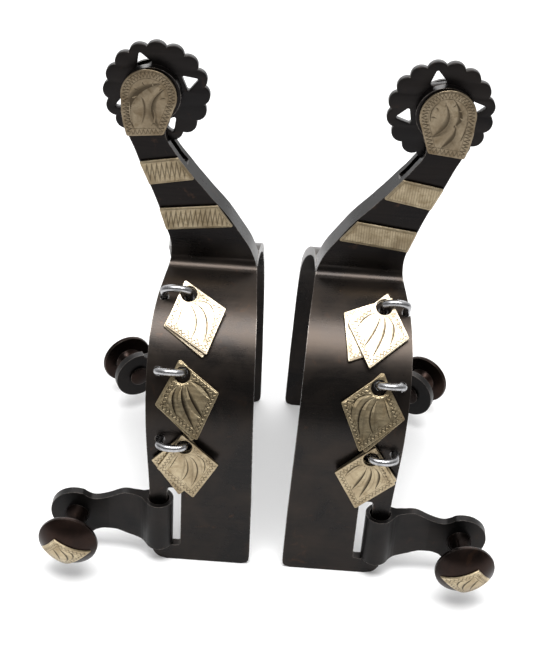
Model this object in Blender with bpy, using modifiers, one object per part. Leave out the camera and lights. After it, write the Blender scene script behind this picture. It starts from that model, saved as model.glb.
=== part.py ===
"""Pair of western show spurs standing upright on the tips of their heel bands.

Each spur is a heel band with its shank, a scalloped rowel on a pin, german silver
overlays, three wire staples that each carry two diamond jingle plates, and two
folded swinging hangers with strap buttons.

+Z is up and the floor is z = 0.  The origin is on the floor, under the middle of
the pair.  Every piece is laid out in its spur's own frame, in millimetres:
  x  across the band, positive towards the other spur (the inner edge),
  y  along the width of the heel opening, negative on the decorated front,
  z  up, with the band tips on the floor.
The left spur is that frame moved to the left, the right spur is its mirror image.
"""
import bpy
import bmesh
import math
from mathutils import Vector, Matrix

MM = 0.001                    # drawing unit to metres
WELD = 0.00001                # welding distance, metres
SHARP_DEG = 32.0              # edges sharper than this stay crisp
X_AXIS = Vector((1, 0, 0))
Y_AXIS = Vector((0, 1, 0))
Z_AXIS = Vector((0, 0, 1))

# ------------------------------------------------------------------------ pair
PAIR_HALF_SPACING = 21.2      # spur centre line to the pair's middle plane
PAIR_Y = 5.961                # puts the origin under the middle of the pair, buttons included

# ------------------------------------------------------------------- heel band
BAND_R = 44.0                 # outer radius of the heel bend
BAND_T = 2.8
BAND_MID_R = BAND_R - BAND_T / 2
BAND_ZC = 45.6                # height of the bend's centre
TIP_ROUND_OUT = 4.6           # corner radius at the tip, outer edge
TIP_ROUND_IN = 2.6            # corner radius at the tip, inner edge
TIP_ROUND_DEG = (0, 30, 50, 70, 90)   # where the rounded tip is sampled
TIP_EXTRA_Z = 1.0             # one more row within the tip
BEND_STEPS = 36
# (height on the arm, outer edge x, inner edge x)
ARM_STATIONS = [(0.0, -15.7, 15.8), (12.0, -16.1, 15.6), (24.0, -16.6, 15.4),
                (34.0, -17.0, 15.1)]
# (bend angle, outer edge x, inner edge x), the same for both halves of the bend
BEND_STATIONS = [(0.0, -17.6, 14.8), (12.0, -18.1, 14.5), (24.0, -18.5, 14.2),
                 (36.0, -18.7, 13.9), (48.0, -18.6, 13.6), (58.0, -18.1, 13.3),
                 (66.0, -17.4, 12.9), (74.0, -16.4, 12.5), (82.0, -15.5, 12.2),
                 (90.0, -15.2, 12.0)]
FLATTENING = 1.2              # the back shoulder of the bend sits this much lower
FLATTENING_DEG = (100, 160)
ARM_SHIFT_FROM_Y = 8.0        # the back arm's sideways set starts here

SLOT_X = (-11.2, -6.8)        # hanger slot near each band tip
SLOT_Z = (6.2, 31.0)
SLOT_ROUND = 0.8
BAR_X = -14.0                 # centre of the bar left between slot and edge

# ----------------------------------------------------------------------- shank
SHANK_T = 8.4
SHANK_HALF = SHANK_T / 2
SHANK_FILLET = 3.5            # fillet between shank and band
BACK_TAPER = 1.6              # the back face leans in towards the head by this much
TAPER_Z = (124.0, 152.0)
SHANK_CLEAR_Z = 170.0         # clear above the head
# side silhouette (x, z): up the outer edge, then down the inner edge
SHANK_OUTER = [(-15.2, 86.0), (-15.2, 89.4), (-15.0, 91.8), (-14.9, 94.0), (-15.0, 96.0),
               (-15.4, 98.3), (-16.3, 101.0), (-17.2, 104.0), (-18.2, 107.0),
               (-19.2, 110.0), (-20.3, 113.0), (-21.5, 116.0), (-22.8, 119.0),
               (-24.0, 122.0), (-25.1, 125.0), (-26.2, 128.0), (-27.5, 131.0),
               (-28.4, 133.2), (-29.6, 138.5)]
SHANK_INNER = [(-15.9, 136.9), (-16.9, 135.2), (-17.0, 133.0), (-16.2, 130.6),
               (-14.5, 128.0), (-12.5, 125.0), (-10.1, 122.0), (-7.8, 119.0),
               (-5.3, 116.0), (-2.8, 113.0), (-0.1, 110.0), (2.4, 107.0), (4.5, 104.0),
               (6.5, 101.0), (8.5, 98.0), (9.9, 95.5), (11.0, 92.8), (11.8, 90.3),
               (12.0, 89.0), (12.0, 86.0)]
HEAD_C = (-21.2, 145.2)
HEAD_R = 8.6
HEAD_ARC = (196.0, -48.0)     # from the outer edge over the top to the inner edge
FORK_SLOT = 3.2               # rowel slot width
FORK_FLOOR = 122.5            # height of the slot's floor
FORK_X = (-50, 5)

# --------------------------------------------------------------- rowel and pin
ROWEL_C = (-20.1, 144.65)     # rowel axis
ROWEL_T = 2.3
ROWEL_LOBES = 16
LOBE_SAMPLES = 6
LOBE_CENTRE_R = 12.5
LOBE_R = 3.2
ROWEL_BORE_R = 1.7
CUTOUTS = 4                   # triangular cut-outs
CUTOUT_TIP_R = 13.4
CUTOUT_BASE_R = 9.2
CUTOUT_BASE_DEG = 17.0
CUTOUT_ROUND = 0.45
PIN_R = 1.4
PIN_BORE_R = 1.65
PIN_HEAD_R = 2.7
PIN_SEAT_GAP = 0.5            # head clear of the leaning back face
PIN_END_INSET = 0.1           # front end sits this far below the front face

# -------------------------------------------------------------- silver overlays
GAP = 0.3                     # clearance between neighbouring pieces
HEAD_OVERLAY_T = 0.8
HEAD_OVERLAY_C = (HEAD_C[0] - 0.65, HEAD_C[1] + 0.1)
HEAD_OVERLAY_R = HEAD_R - 0.4
HEAD_OVERLAY_ARC = (-25.0, 190.0)
# lower end of the head overlay (x, z), from the outer to the inner edge
HEAD_OVERLAY_FOOT = [(-29.9, 140.0), (-29.4, 136.4), (-28.5, 132.4), (-28.2, 132.2),
                     (-17.7, 133.2), (-17.3, 133.5)]
BAR_OVERLAY_T = 0.7
BAR_OVERLAY_ROUND = 0.5
# corners of the bars (x, z): lower outer, lower inner, upper inner, upper outer
SHANK_BARS = {"upper": [(-21.2, 115.5), (-7.1, 118.2), (-12.4, 125.1), (-24.3, 123.0)],
              "lower": [(-16.0, 100.3), (5.1, 102.8), (-0.1, 109.9), (-18.3, 107.6)]}
BAR_LEAN = (-0.40, -0.78, -0.78, -0.40)   # x shift of each corner per mm of rise

# ---------------------------------------------------- staples and jingle plates
WIRE_R = 1.15
STAPLE_HOLE_R = 1.5
STAPLE_HOLE_REACH = 8         # the drill reaches this far either side of the surface
STAPLE_FOOT = -BAND_T + 0.3   # the legs end just short of the band's inner face
STAPLE_LEG = 3.1              # straight leg above the band
STAPLE_ARCH = 1.8             # rise of the arch above the legs
ARCH_STEPS = 8
CHARM_LONG = 24.9             # long diagonal, through the hole
CHARM_WIDE = 19.2             # cross diagonal
CHARM_HOLE_R = 2.2
CHARM_HOLE_AT = 4.8           # hole centre below the upper corner
CHARM_T = 0.9
CHARM_ROUND = 0.5
CHARM_DROP = 0.6              # hole hangs this far below the wire
# height of the (front, back) plate on the staple leg, above the band
CHARM_LIFT = {"top": (2.95, 1.7), "middle": (2.4, 1.1), "bottom": (2.4, 1.1)}

# --------------------------------------------------------------------- hangers
# facing is the y direction of the arm and button; reach runs from bar to button
HANGERS = {"outer": dict(facing=-1, reach=26.0, rim_height=12.9),
           "inner": dict(facing=1, reach=18.6, rim_height=9.4)}
STRAP_T = 1.3                 # one layer of the folded hanger
STRAP_BACK = 0.9              # the flat strap sits behind the middle of its loop
BACK_FACE = STRAP_BACK + STRAP_T
BUTTON_FACE = STRAP_BACK - STRAP_T
LOOP_R_IN = 3.35
LOOP_R_OUT = LOOP_R_IN + STRAP_T
LOOP_ARC = (112.0, -148.0)
# plan of the fold either side of the loop (u, v); v is positive behind the strap
FOLD_START = [(-8.0, BACK_FACE), (-5.0, BACK_FACE + 0.35)]
FOLD_END = [(-4.85, -1.45), (-5.7, -0.85), (-6.6, BUTTON_FACE - 0.15), (-8.0, BUTTON_FACE)]
HANGER_Z = 16.3
HANGER_END_Z = HANGER_Z - 0.2   # centre of the round end and of the button
HANGER_END_R = 8.7
HANGER_END_ARC = (76.0, 300.0)
HANGER_BEND_AT = 16.0         # the end of the strap is bent inwards from here
HANGER_BEND = math.radians(6.0)
# side outline at full reach: (distance from the bar, height)
HANGER_TOP = [(-6.0, 25.2), (0.0, 25.2), (3.4, 25.3), (7.0, 26.2), (11.0, 26.7),
              (15.0, 25.0), (18.6, 23.5), (21.0, 23.15), (22.9, 23.85)]
HANGER_BOTTOM = [(20.2, 10.0), (17.4, 11.1), (13.6, 11.0), (10.0, 9.4), (7.0, 8.2),
                 (4.4, 7.5), (1.6, 6.8), (-6.0, 6.8)]
FIXED_LENGTH = 3              # a shorter hanger keeps this much at the bar

# --------------------------------------------------------------------- buttons
BUTTON_BORE_R = 2.15
# turned profile, (radius, height above the hanger's face)
BUTTON_TAIL = [(0.0, -3.7), (3.2, -3.7), (3.7, -3.4), (3.7, -2.95), (1.9, -2.95)]
BUTTON_NECK = [(1.9, 0.3), (3.9, 0.3), (3.75, 1.4), (3.25, 3.6), (3.1, 6.2),
               (3.5, 8.6), (4.8, 10.4)]   # at the outer button's height
NECK_FIXED_H = 1              # a shorter button keeps its neck below this
BUTTON_R = 9.35
BUTTON_RIM = [(7.4, -1.6), (9.15, -1.2), (9.4, -0.7), (BUTTON_R, 0.0)]   # heights from the rim
DOME_H = 3.9
DOME_SPHERE_R = (BUTTON_R ** 2 + DOME_H ** 2) / (2 * DOME_H)
DOME_DEG = (35, 55, 72, 84)   # the dome is sampled at BUTTON_R times their cosines
BUTTON_SEGMENTS = 24
PATCH_T = 0.5
PATCH_CELLS = 6
# silver diamond low on the dome: bottom, inner, top and outer corners
PATCH_CORNERS = [Vector(p) for p in ((-0.5, -8.6), (7.7, -1.3), (-3.4, 3.5), (-8.0, -2.3))]

# how each spur is dressed; the two differ a little, as hand work does
#   rowel       turn in degrees
#   staples     bend angle, x of the outer leg, x of the inner leg
#   charms      tilt back, then swing of the front and of the back plate's lower
#               corner towards the other spur, in degrees
#   bar_rise    shift of the silver shank bars up the shank
#   back_arm_x  sideways set of the band's back arm
#   swing       turn of each hanger away from the heel opening, in degrees
SIDES = {
    "left": dict(
        sign=-1, rowel=22.5,
        staples={"top": (65.6, -15.4, -7.7), "middle": (34.6, -15.1, -7.6),
                 "bottom": (6.3, -13.6, -5.9)},
        charms={"top": (51.5, 20.0, 16.5), "middle": (35.0, 16.5, 12.5),
                "bottom": (2.0, 9.0, -4.0)},
        bar_rise=1.1, back_arm_x=-0.6, swing={"outer": 2.0, "inner": -25.0}),
    "right": dict(
        sign=1, rowel=79.0,
        staples={"top": (65.8, -16.3, -9.2), "middle": (35.0, -16.0, -8.9),
                 "bottom": (6.8, -15.7, -8.5)},
        charms={"top": (52.0, 10.5, 30.0), "middle": (35.0, 13.5, 8.0),
                "bottom": (2.0, 9.0, 6.0)},
        bar_rise=-1.1, back_arm_x=2.0, swing={"outer": 2.0, "inner": -24.0}),
}

# -------------------------------------------------------- scene and materials
for old_object in list(bpy.data.objects):
    bpy.data.objects.remove(old_object, do_unlink=True)
for old_collection in list(bpy.data.collections):
    bpy.data.collections.remove(old_collection)

parts = bpy.data.collections.new("western_spurs")
bpy.context.scene.collection.children.link(parts)


def metal(name, colour, metallic, roughness):
    mat = bpy.data.materials.new(name)
    mat.use_nodes = True
    shader = mat.node_tree.nodes["Principled BSDF"]
    shader.inputs["Base Color"].default_value = (*colour, 1.0)
    shader.inputs["Metallic"].default_value = metallic
    shader.inputs["Roughness"].default_value = roughness
    return mat


BROWN_STEEL = metal("antique_brown_steel", colour=(0.035, 0.028, 0.024),
                    metallic=0.85, roughness=0.38)
BUTTON_STEEL = metal("browned_button_steel", colour=(0.045, 0.026, 0.020),
                     metallic=0.85, roughness=0.32)
SILVER = metal("german_silver", colour=(0.52, 0.46, 0.34), metallic=1.0, roughness=0.33)
BRIGHT_WIRE = metal("polished_steel_wire", colour=(0.62, 0.61, 0.59),
                    metallic=1.0, roughness=0.18)


# --------------------------------------------------------------- mesh helpers
def new_object(data):
    ob = bpy.data.objects.new(data.name, data)
    parts.objects.link(ob)
    return ob


def bmesh_object(name, bm):
    mesh = bpy.data.meshes.new(name)
    bm.to_mesh(mesh)
    bm.free()
    return new_object(mesh)


def drawn(name, points, edges=(), faces=()):
    """Object from points (mm) and the edges or faces between their indices."""
    bm = bmesh.new()
    verts = [bm.verts.new((x * MM, y * MM, z * MM)) for x, y, z in points]
    for edge in edges:
        bm.edges.new([verts[i] for i in edge])
    for face in faces:
        bm.faces.new([verts[i] for i in face])
    return bmesh_object(name, bm)


def baked(ob):
    """Replace an object by its evaluated, welded mesh in the spur's frame."""
    bpy.context.view_layer.update()
    depsgraph = bpy.context.evaluated_depsgraph_get()
    mesh = bpy.data.meshes.new_from_object(ob.evaluated_get(depsgraph))
    mesh.transform(ob.matrix_world)
    bm = bmesh.new()
    bm.from_mesh(mesh)
    bmesh.ops.remove_doubles(bm, verts=bm.verts, dist=WELD)
    bmesh.ops.recalc_face_normals(bm, faces=bm.faces)
    bm.to_mesh(mesh)
    bm.free()
    bpy.data.objects.remove(ob, do_unlink=True)
    return new_object(mesh)


def combine(ob, tool, operation):
    """Boolean with the exact solver; the tool object is used up."""
    mod = ob.modifiers.new(operation.lower(), "BOOLEAN")
    mod.operation = operation
    mod.solver = "EXACT"
    mod.object = tool
    result = baked(ob)
    bpy.data.objects.remove(tool, do_unlink=True)
    return result


def add_thickness(ob, thickness):
    """Solidify modifier, half of the thickness to each side."""
    mod = ob.modifiers.new("thickness", "SOLIDIFY")
    mod.thickness = thickness * MM
    mod.offset = 0.0
    return mod


def frame_at(origin, u, v, n):
    """Matrix that sends a piece's own x, y, z to u, v, n at the origin (mm)."""
    frame = Matrix((u, v, n)).transposed().to_4x4()
    frame.translation = Vector(origin) * MM
    return frame


def front_frame(y, x=0, z=0):
    """Frame for outlines drawn in (x, z): the plate's normal is -y."""
    return frame_at((x, y, z), X_AXIS, Z_AXIS, -Y_AXIS)


def plate(name, outline, thickness, frame, holes=()):
    """Flat piece from a filled 2D curve, half its thickness either side of the frame."""
    curve = bpy.data.curves.new(name, "CURVE")
    curve.dimensions = "2D"
    curve.fill_mode = "BOTH"
    curve.extrude = thickness * MM / 2
    for loop in (outline, *holes):
        spline = curve.splines.new("POLY")
        spline.points.add(len(loop) - 1)
        for point, (u, v) in zip(spline.points, loop):
            point.co = (u * MM, v * MM, 0.0, 1.0)
        spline.use_cyclic_u = True
    ob = new_object(curve)
    ob.matrix_world = frame
    return baked(ob)


def turned(name, profile, segments, frame):
    """Turned shape: a profile of (radius, height) about its own z axis."""
    ob = drawn(name, [(radius, 0, height) for radius, height in profile],
               edges=[(i, i + 1) for i in range(len(profile) - 1)])
    mod = ob.modifiers.new("turn", "SCREW")
    mod.angle = math.tau
    mod.steps = segments
    mod.render_steps = segments
    mod.use_merge_vertices = True
    mod.merge_threshold = WELD
    mod.use_smooth_shade = True
    ob.matrix_world = frame
    return baked(ob)


def rod(radius, start, end, sides):
    """Straight round bar between two points (mm)."""
    start, end = Vector(start) * MM, Vector(end) * MM
    axis = end - start
    bm = bmesh.new()
    bmesh.ops.create_cone(bm, cap_ends=True, segments=sides, radius1=radius * MM,
                          radius2=radius * MM, depth=axis.length)
    ob = bmesh_object("rod", bm)
    ob.matrix_world = (Matrix.Translation((start + end) / 2)
                       @ axis.to_track_quat("Z", "Y").to_matrix().to_4x4())
    return ob


def cross_rod(radius, x, z):
    """Bore cutter along y, long enough to pass through any piece at x, z."""
    return rod(radius, (x, -20, z), (x, 20, z), sides=16)


def block(low, high):
    bm = bmesh.new()
    bmesh.ops.create_cube(bm, size=1.0)
    ob = bmesh_object("block", bm)
    low, high = Vector(low) * MM, Vector(high) * MM
    ob.matrix_world = (Matrix.Translation((low + high) / 2)
                       @ Matrix.Diagonal((*(high - low), 1.0)))
    return ob


def wire(points, radius):
    curve = bpy.data.curves.new("wire", "CURVE")
    curve.dimensions = "3D"
    curve.bevel_depth = radius * MM
    curve.bevel_resolution = 1
    curve.use_fill_caps = True
    spline = curve.splines.new("POLY")
    spline.points.add(len(points) - 1)
    for point, position in zip(spline.points, points):
        point.co = (*(Vector(position) * MM), 1.0)
    return baked(new_object(curve))


# -------------------------------------------------------------- outline helpers
def polar(radius, degrees):
    angle = math.radians(degrees)
    return radius * math.cos(angle), radius * math.sin(angle)


def circle(radius, count):
    return [(radius * math.cos(math.tau * i / count), radius * math.sin(math.tau * i / count))
            for i in range(count)]


def arc(centre, radius, limits, count):
    """Points of an arc between two angles in degrees, both ends included."""
    start, end = limits
    offsets = [polar(radius, start + (end - start) * i / (count - 1)) for i in range(count)]
    return [(centre[0] + u, centre[1] + v) for u, v in offsets]


def rounded(points, radius, steps=2):
    """Polygon with its corners rounded to a radius."""
    outline = []
    for i in range(len(points)):
        corner = Vector(points[i])
        to_last = (Vector(points[i - 1]) - corner).normalized()
        to_next = (Vector(points[(i + 1) % len(points)]) - corner).normalized()
        half = to_last.angle(to_next) / 2
        reach = radius / math.tan(half)
        centre = corner + (to_last + to_next).normalized() * (radius / math.sin(half))
        start = corner + to_last * reach - centre
        end = corner + to_next * reach - centre
        turn = start.angle_signed(end)
        for k in range(steps + 1):
            angle = -turn * k / steps
            cos, sin = math.cos(angle), math.sin(angle)
            outline.append((centre.x + start.x * cos - start.y * sin,
                            centre.y + start.x * sin + start.y * cos))
    return outline


def smooth_line(points, steps=2):
    """Catmull-Rom line through control points."""
    line = []
    last = len(points) - 1
    for i in range(last):
        p0, p1, p2, p3 = (Vector(points[min(max(j, 0), last)]) for j in range(i - 1, i + 3))
        for k in range(steps):
            t = k / steps
            point = 0.5 * ((2 * p1) + (p2 - p0) * t + (2 * p0 - 5 * p1 + 4 * p2 - p3) * t * t
                           + (3 * p1 - p0 - 3 * p2 + p3) * t ** 3)
            line.append((point.x, point.y))
    line.append(points[-1])
    return line


# ------------------------------------------------------------------- heel band
def edges_at(stations, place):
    """Outer and inner edge x, interpolated in a station table."""
    for (start, outer0, inner0), (end, outer1, inner1) in zip(stations, stations[1:]):
        if place <= end:
            t = (place - start) / (end - start)
            return outer0 + (outer1 - outer0) * t, inner0 + (inner1 - inner0) * t


def bend_point(angle, radius):
    """(y, z) on the heel bend: 0 degrees on the decorated side, 90 at the crown."""
    low, high = FLATTENING_DEG
    if low < angle < high:
        radius -= FLATTENING * math.sin(math.pi * (angle - low) / (high - low)) ** 2
    y, z = polar(radius, angle)
    return -y, BAND_ZC + z


def bend_normal(angle):
    """Direction out of the bend at an angle in degrees."""
    angle = math.radians(angle)
    return Vector((0, -math.cos(angle), math.sin(angle)))


def arm_shift(y, back_arm_x):
    """Sideways set of the band's back half, growing from the crown to the arm."""
    t = (y - ARM_SHIFT_FROM_Y) / (BAND_R - BAND_T - ARM_SHIFT_FROM_Y)
    t = min(max(t, 0.0), 1.0)
    return back_arm_x * t * t * (3 - 2 * t)


def corner_inset(z, radius):
    """How far a rounded tip corner draws the edge in at a height."""
    if z >= radius:
        return 0.0
    return radius - math.sqrt(radius ** 2 - (radius - z) ** 2)


def heel_band(back_arm_x):
    """Open U sheet given its thickness by Solidify."""
    heights = {round(TIP_ROUND_OUT * (1 - math.cos(math.radians(a))), 4) for a in TIP_ROUND_DEG}
    heights |= {TIP_EXTRA_Z} | {station[0] for station in ARM_STATIONS}
    arm = []
    for z in sorted(heights):
        outer, inner = edges_at(ARM_STATIONS, z)
        arm.append((-BAND_MID_R, z, outer + corner_inset(z, TIP_ROUND_OUT),
                    inner - corner_inset(z, TIP_ROUND_IN)))
    bend = []
    for k in range(BEND_STEPS + 1):
        angle = 180.0 * k / BEND_STEPS
        bend.append((*bend_point(angle, BAND_MID_R),
                     *edges_at(BEND_STATIONS, min(angle, 180 - angle))))
    back_arm = [(-y, z, outer, inner) for y, z, outer, inner in reversed(arm)]

    points = []
    for y, z, outer, inner in arm + bend + back_arm:
        shift = arm_shift(y, back_arm_x)
        points += [(outer + shift, y, z), (inner + shift, y, z)]
    ob = drawn("band", points,
               faces=[(i, i + 1, i + 3, i + 2) for i in range(0, len(points) - 2, 2)])
    add_thickness(ob, BAND_T).use_even_offset = True
    return baked(ob)


# ----------------------------------------------------------------------- shank
def shank_front_outline():
    """Outline in (y, z), flaring through fillets into the band."""
    fillet_y = SHANK_HALF + SHANK_FILLET
    fillet_z = BAND_ZC + math.sqrt((BAND_R + SHANK_FILLET) ** 2 - fillet_y ** 2)
    # the fillet ends on the line to the bend's centre
    end = math.degrees(math.atan2(BAND_ZC - fillet_z, -fillet_y)) + 360.0
    flare = arc((fillet_y, fillet_z), SHANK_FILLET, (180.0, end), 6)
    root_y, root_z = flare[-1]
    scale = BAND_MID_R / BAND_R
    root = flare + [(root_y * scale, BAND_ZC + (root_z - BAND_ZC) * scale)]
    front_line = [(SHANK_HALF, SHANK_CLEAR_Z)] + root
    back_line = [(SHANK_HALF - BACK_TAPER, SHANK_CLEAR_Z),
                 (SHANK_HALF - BACK_TAPER, TAPER_Z[1]), (SHANK_HALF, TAPER_Z[0])] + root
    return ([(-y, z) for y, z in front_line] + [(0.0, BAND_ZC + BAND_MID_R)]
            + back_line[::-1])


def shank():
    """Side silhouette met with the front silhouette."""
    head = arc(HEAD_C, HEAD_R, HEAD_ARC, 18)
    side = plate("shank", SHANK_OUTER + head + SHANK_INNER, 40.0, front_frame(0))
    front = plate("shank_front", shank_front_outline(), 80.0,
                  frame_at((0, 0, 0), Y_AXIS, Z_AXIS, X_AXIS))
    return combine(side, front, "INTERSECT")


def spur_body(dress):
    """Band and shank in one piece, with fork, pin bore, hanger slots and staple holes."""
    ob = combine(heel_band(dress["back_arm_x"]), shank(), "UNION")
    fork = block((FORK_X[0], -FORK_SLOT / 2, FORK_FLOOR),
                 (FORK_X[1], FORK_SLOT / 2, SHANK_CLEAR_Z))
    ob = combine(ob, fork, "DIFFERENCE")
    ob = combine(ob, cross_rod(PIN_BORE_R, *ROWEL_C), "DIFFERENCE")
    for y, shift in ((-BAND_R, 0.0), (BAND_R, dress["back_arm_x"])):
        x0, x1 = SLOT_X[0] + shift, SLOT_X[1] + shift
        z0, z1 = SLOT_Z
        slot = rounded([(x0, z0), (x1, z0), (x1, z1), (x0, z1)], SLOT_ROUND)
        ob = combine(ob, plate("slot", slot, 20.0, front_frame(y)), "DIFFERENCE")
    for angle, x_outer, x_inner in dress["staples"].values():
        for x in (x_outer, x_inner):
            start = (x, *bend_point(angle, BAND_R - STAPLE_HOLE_REACH))
            end = (x, *bend_point(angle, BAND_R + STAPLE_HOLE_REACH))
            ob = combine(ob, rod(STAPLE_HOLE_R, start, end, sides=12), "DIFFERENCE")
    return ob


# --------------------------------------------------------------- rowel and pin
def rowel_outline(turn):
    """Scalloped edge: the outer arcs of a ring of lobes."""
    pitch = 360.0 / ROWEL_LOBES
    points = []
    for i in range(ROWEL_LOBES * LOBE_SAMPLES):
        angle = pitch * i / LOBE_SAMPLES
        off_lobe = math.radians((angle + pitch / 2) % pitch - pitch / 2)
        radius = (LOBE_CENTRE_R * math.cos(off_lobe)
                  + math.sqrt(LOBE_R ** 2 - (LOBE_CENTRE_R * math.sin(off_lobe)) ** 2))
        points.append(polar(radius, angle + turn))
    return points


def rowel(turn):
    holes = [circle(ROWEL_BORE_R, 16)]
    for k in range(CUTOUTS):
        middle = turn + 360.0 / CUTOUTS * k
        triangle = [polar(CUTOUT_TIP_R, middle),
                    polar(CUTOUT_BASE_R, middle + CUTOUT_BASE_DEG),
                    polar(CUTOUT_BASE_R, middle - CUTOUT_BASE_DEG)]
        holes.append(rounded(triangle, CUTOUT_ROUND))
    frame = front_frame(0, x=ROWEL_C[0], z=ROWEL_C[1])
    return plate("rowel", rowel_outline(turn), ROWEL_T, frame, holes)


def rowel_pin():
    """Pin with a domed head on the back of the shank."""
    t = (ROWEL_C[1] - TAPER_Z[0]) / (TAPER_Z[1] - TAPER_Z[0])
    seat = SHANK_HALF - BACK_TAPER * t + PIN_SEAT_GAP
    end = -SHANK_HALF + PIN_END_INSET
    profile = [(0.0, seat + 1.0), (1.5, seat + 0.85), (PIN_HEAD_R - 0.3, seat + 0.4),
               (PIN_HEAD_R, seat), (PIN_R, seat), (PIN_R, end), (0.0, end)]
    frame = frame_at((ROWEL_C[0], 0, ROWEL_C[1]), X_AXIS, -Z_AXIS, Y_AXIS)
    return turned("rowel_pin", profile, 16, frame)


# -------------------------------------------------------------- silver overlays
def shank_overlay(name, outline, thickness):
    """Silver plate just clear of the shank's front face."""
    return plate(name, outline, thickness, front_frame(-(SHANK_HALF + GAP + thickness / 2)))


def head_overlay():
    outline = arc(HEAD_OVERLAY_C, HEAD_OVERLAY_R, HEAD_OVERLAY_ARC, 20) + HEAD_OVERLAY_FOOT
    return shank_overlay("head_overlay", outline, HEAD_OVERLAY_T)


def shank_bar(corners, rise):
    """Silver bar across the shank, moved up or down between its two edges."""
    corners = [(x + lean * rise, z + rise) for (x, z), lean in zip(corners, BAR_LEAN)]
    return shank_overlay("shank_bar", rounded(corners, BAR_OVERLAY_ROUND), BAR_OVERLAY_T)


# ---------------------------------------------------- staples and jingle plates
def staple(angle, x_outer, x_inner):
    out = bend_normal(angle)
    foot = Vector((0, *bend_point(angle, BAND_R)))
    middle, half = (x_outer + x_inner) / 2, (x_inner - x_outer) / 2
    path = [(x_outer, STAPLE_FOOT), (x_outer, 0.0)]
    for k in range(ARCH_STEPS + 1):
        t = math.pi * (1 - k / ARCH_STEPS)
        path.append((middle + half * math.cos(t), STAPLE_LEG + STAPLE_ARCH * math.sin(t)))
    path += [(x_inner, 0.0), (x_inner, STAPLE_FOOT)]
    return wire([foot + out * height + Vector((x, 0, 0)) for x, height in path], WIRE_R)


def charm(angle, x_leg, lift, tilt, swing):
    """Diamond plate on a staple leg at a bend angle, and the middle of its hole."""
    bend, tilted, swung = (math.radians(a) for a in (angle, tilt, swing))
    along_band = Vector((0, math.sin(bend), math.cos(bend)))
    hole = (Vector((x_leg, *bend_point(angle, BAND_R))) + bend_normal(angle) * lift
            - along_band * CHARM_DROP)
    up = Vector((0, math.sin(tilted), math.cos(tilted)))
    frame = frame_at(hole, X_AXIS * math.cos(swung) + up * math.sin(swung),
                     up * math.cos(swung) - X_AXIS * math.sin(swung), bend_normal(tilt))
    top = CHARM_HOLE_AT
    middle = top - CHARM_LONG / 2
    diamond = [(0, top), (-CHARM_WIDE / 2, middle),
               (0, top - CHARM_LONG), (CHARM_WIDE / 2, middle)]
    ob = plate("charm", rounded(diamond, CHARM_ROUND), CHARM_T, frame,
               [circle(CHARM_HOLE_R, 20)])
    return ob, hole


# --------------------------------------------------------------------- hangers
# A hanger is drawn round its bar at x = y = 0, with the strap running along -x.
def strap_plan(spec, bend_at, elbow):
    """Plan from above: the loop round the bar and two layers pressed together."""
    back = -spec["facing"]
    far = spec["reach"] + HANGER_END_R + 1
    miter = STRAP_T * math.tan(HANGER_BEND / 2)
    fold = FOLD_START + arc((0, 0), LOOP_R_OUT, LOOP_ARC, 25) + FOLD_END
    outline = [(u, back * v) for u, v in fold]
    outline += [(-bend_at + miter, back * BUTTON_FACE)]
    outline += [tuple((elbow @ Vector((-far, back * v, 0)))[:2])
                for v in (BUTTON_FACE, BACK_FACE)]
    outline += [(-bend_at - miter, back * BACK_FACE)]
    return plate("hanger", outline, 60.0, Matrix.Translation((0, 0, HANGER_Z * MM)),
                 [circle(LOOP_R_IN, 28)])


def strap_side(reach):
    """Side outline, shortened to the reach, with its round end."""
    scale = (reach - FIXED_LENGTH) / (HANGERS["outer"]["reach"] - FIXED_LENGTH)

    def fitted(line):
        return smooth_line([(-(u if u < FIXED_LENGTH
                               else FIXED_LENGTH + (u - FIXED_LENGTH) * scale), z)
                            for u, z in line])
    end = arc((-reach, HANGER_END_Z), HANGER_END_R, HANGER_END_ARC, 20)
    return plate("hanger_side", fitted(HANGER_TOP) + end + fitted(HANGER_BOTTOM), 30.0,
                 front_frame(0))


def hanger(spec, swing, shift):
    """Folded strap: the plan met with the side outline, bored, then swung on its bar.
    Also returns its pivot (mm) and the frame of its bent end."""
    facing, reach = spec["facing"], spec["reach"]
    bend_at = min(HANGER_BEND_AT, reach - HANGER_END_R)
    back_y = -facing * STRAP_BACK
    elbow = (Matrix.Translation((-bend_at, back_y, 0))
             @ Matrix.Rotation(HANGER_BEND * facing, 4, "Z")
             @ Matrix.Translation((bend_at, -back_y, 0)))
    plan = strap_plan(spec, bend_at, elbow)
    ob = combine(plan, strap_side(reach), "INTERSECT")

    elbow.translation *= MM      # from drawing units to metres
    bore = cross_rod(BUTTON_BORE_R, -reach, HANGER_END_Z)
    bore.matrix_world = elbow @ bore.matrix_world
    ob = combine(ob, bore, "DIFFERENCE")

    pivot = Vector((BAR_X + shift, facing * BAND_MID_R, 0))
    place = (Matrix.Translation(pivot * MM)
             @ Matrix.Rotation(math.radians(swing) * -facing, 4, "Z"))
    ob.matrix_world = place
    return baked(ob), (pivot.x, pivot.y, HANGER_Z), place @ elbow


# --------------------------------------------------------------------- buttons
def button_frame(spec, strap_end):
    """Frame of a button: own z is its axis, pointing away from the hanger."""
    facing = spec["facing"]
    return strap_end @ frame_at((-spec["reach"], -facing * BUTTON_FACE, HANGER_END_Z),
                                X_AXIS * -facing, Z_AXIS, Y_AXIS * facing)


def dome_height(radius, rim):
    """Height of the button's domed face at a radius."""
    return rim + math.sqrt(DOME_SPHERE_R ** 2 - radius ** 2) - (DOME_SPHERE_R - DOME_H)


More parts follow.
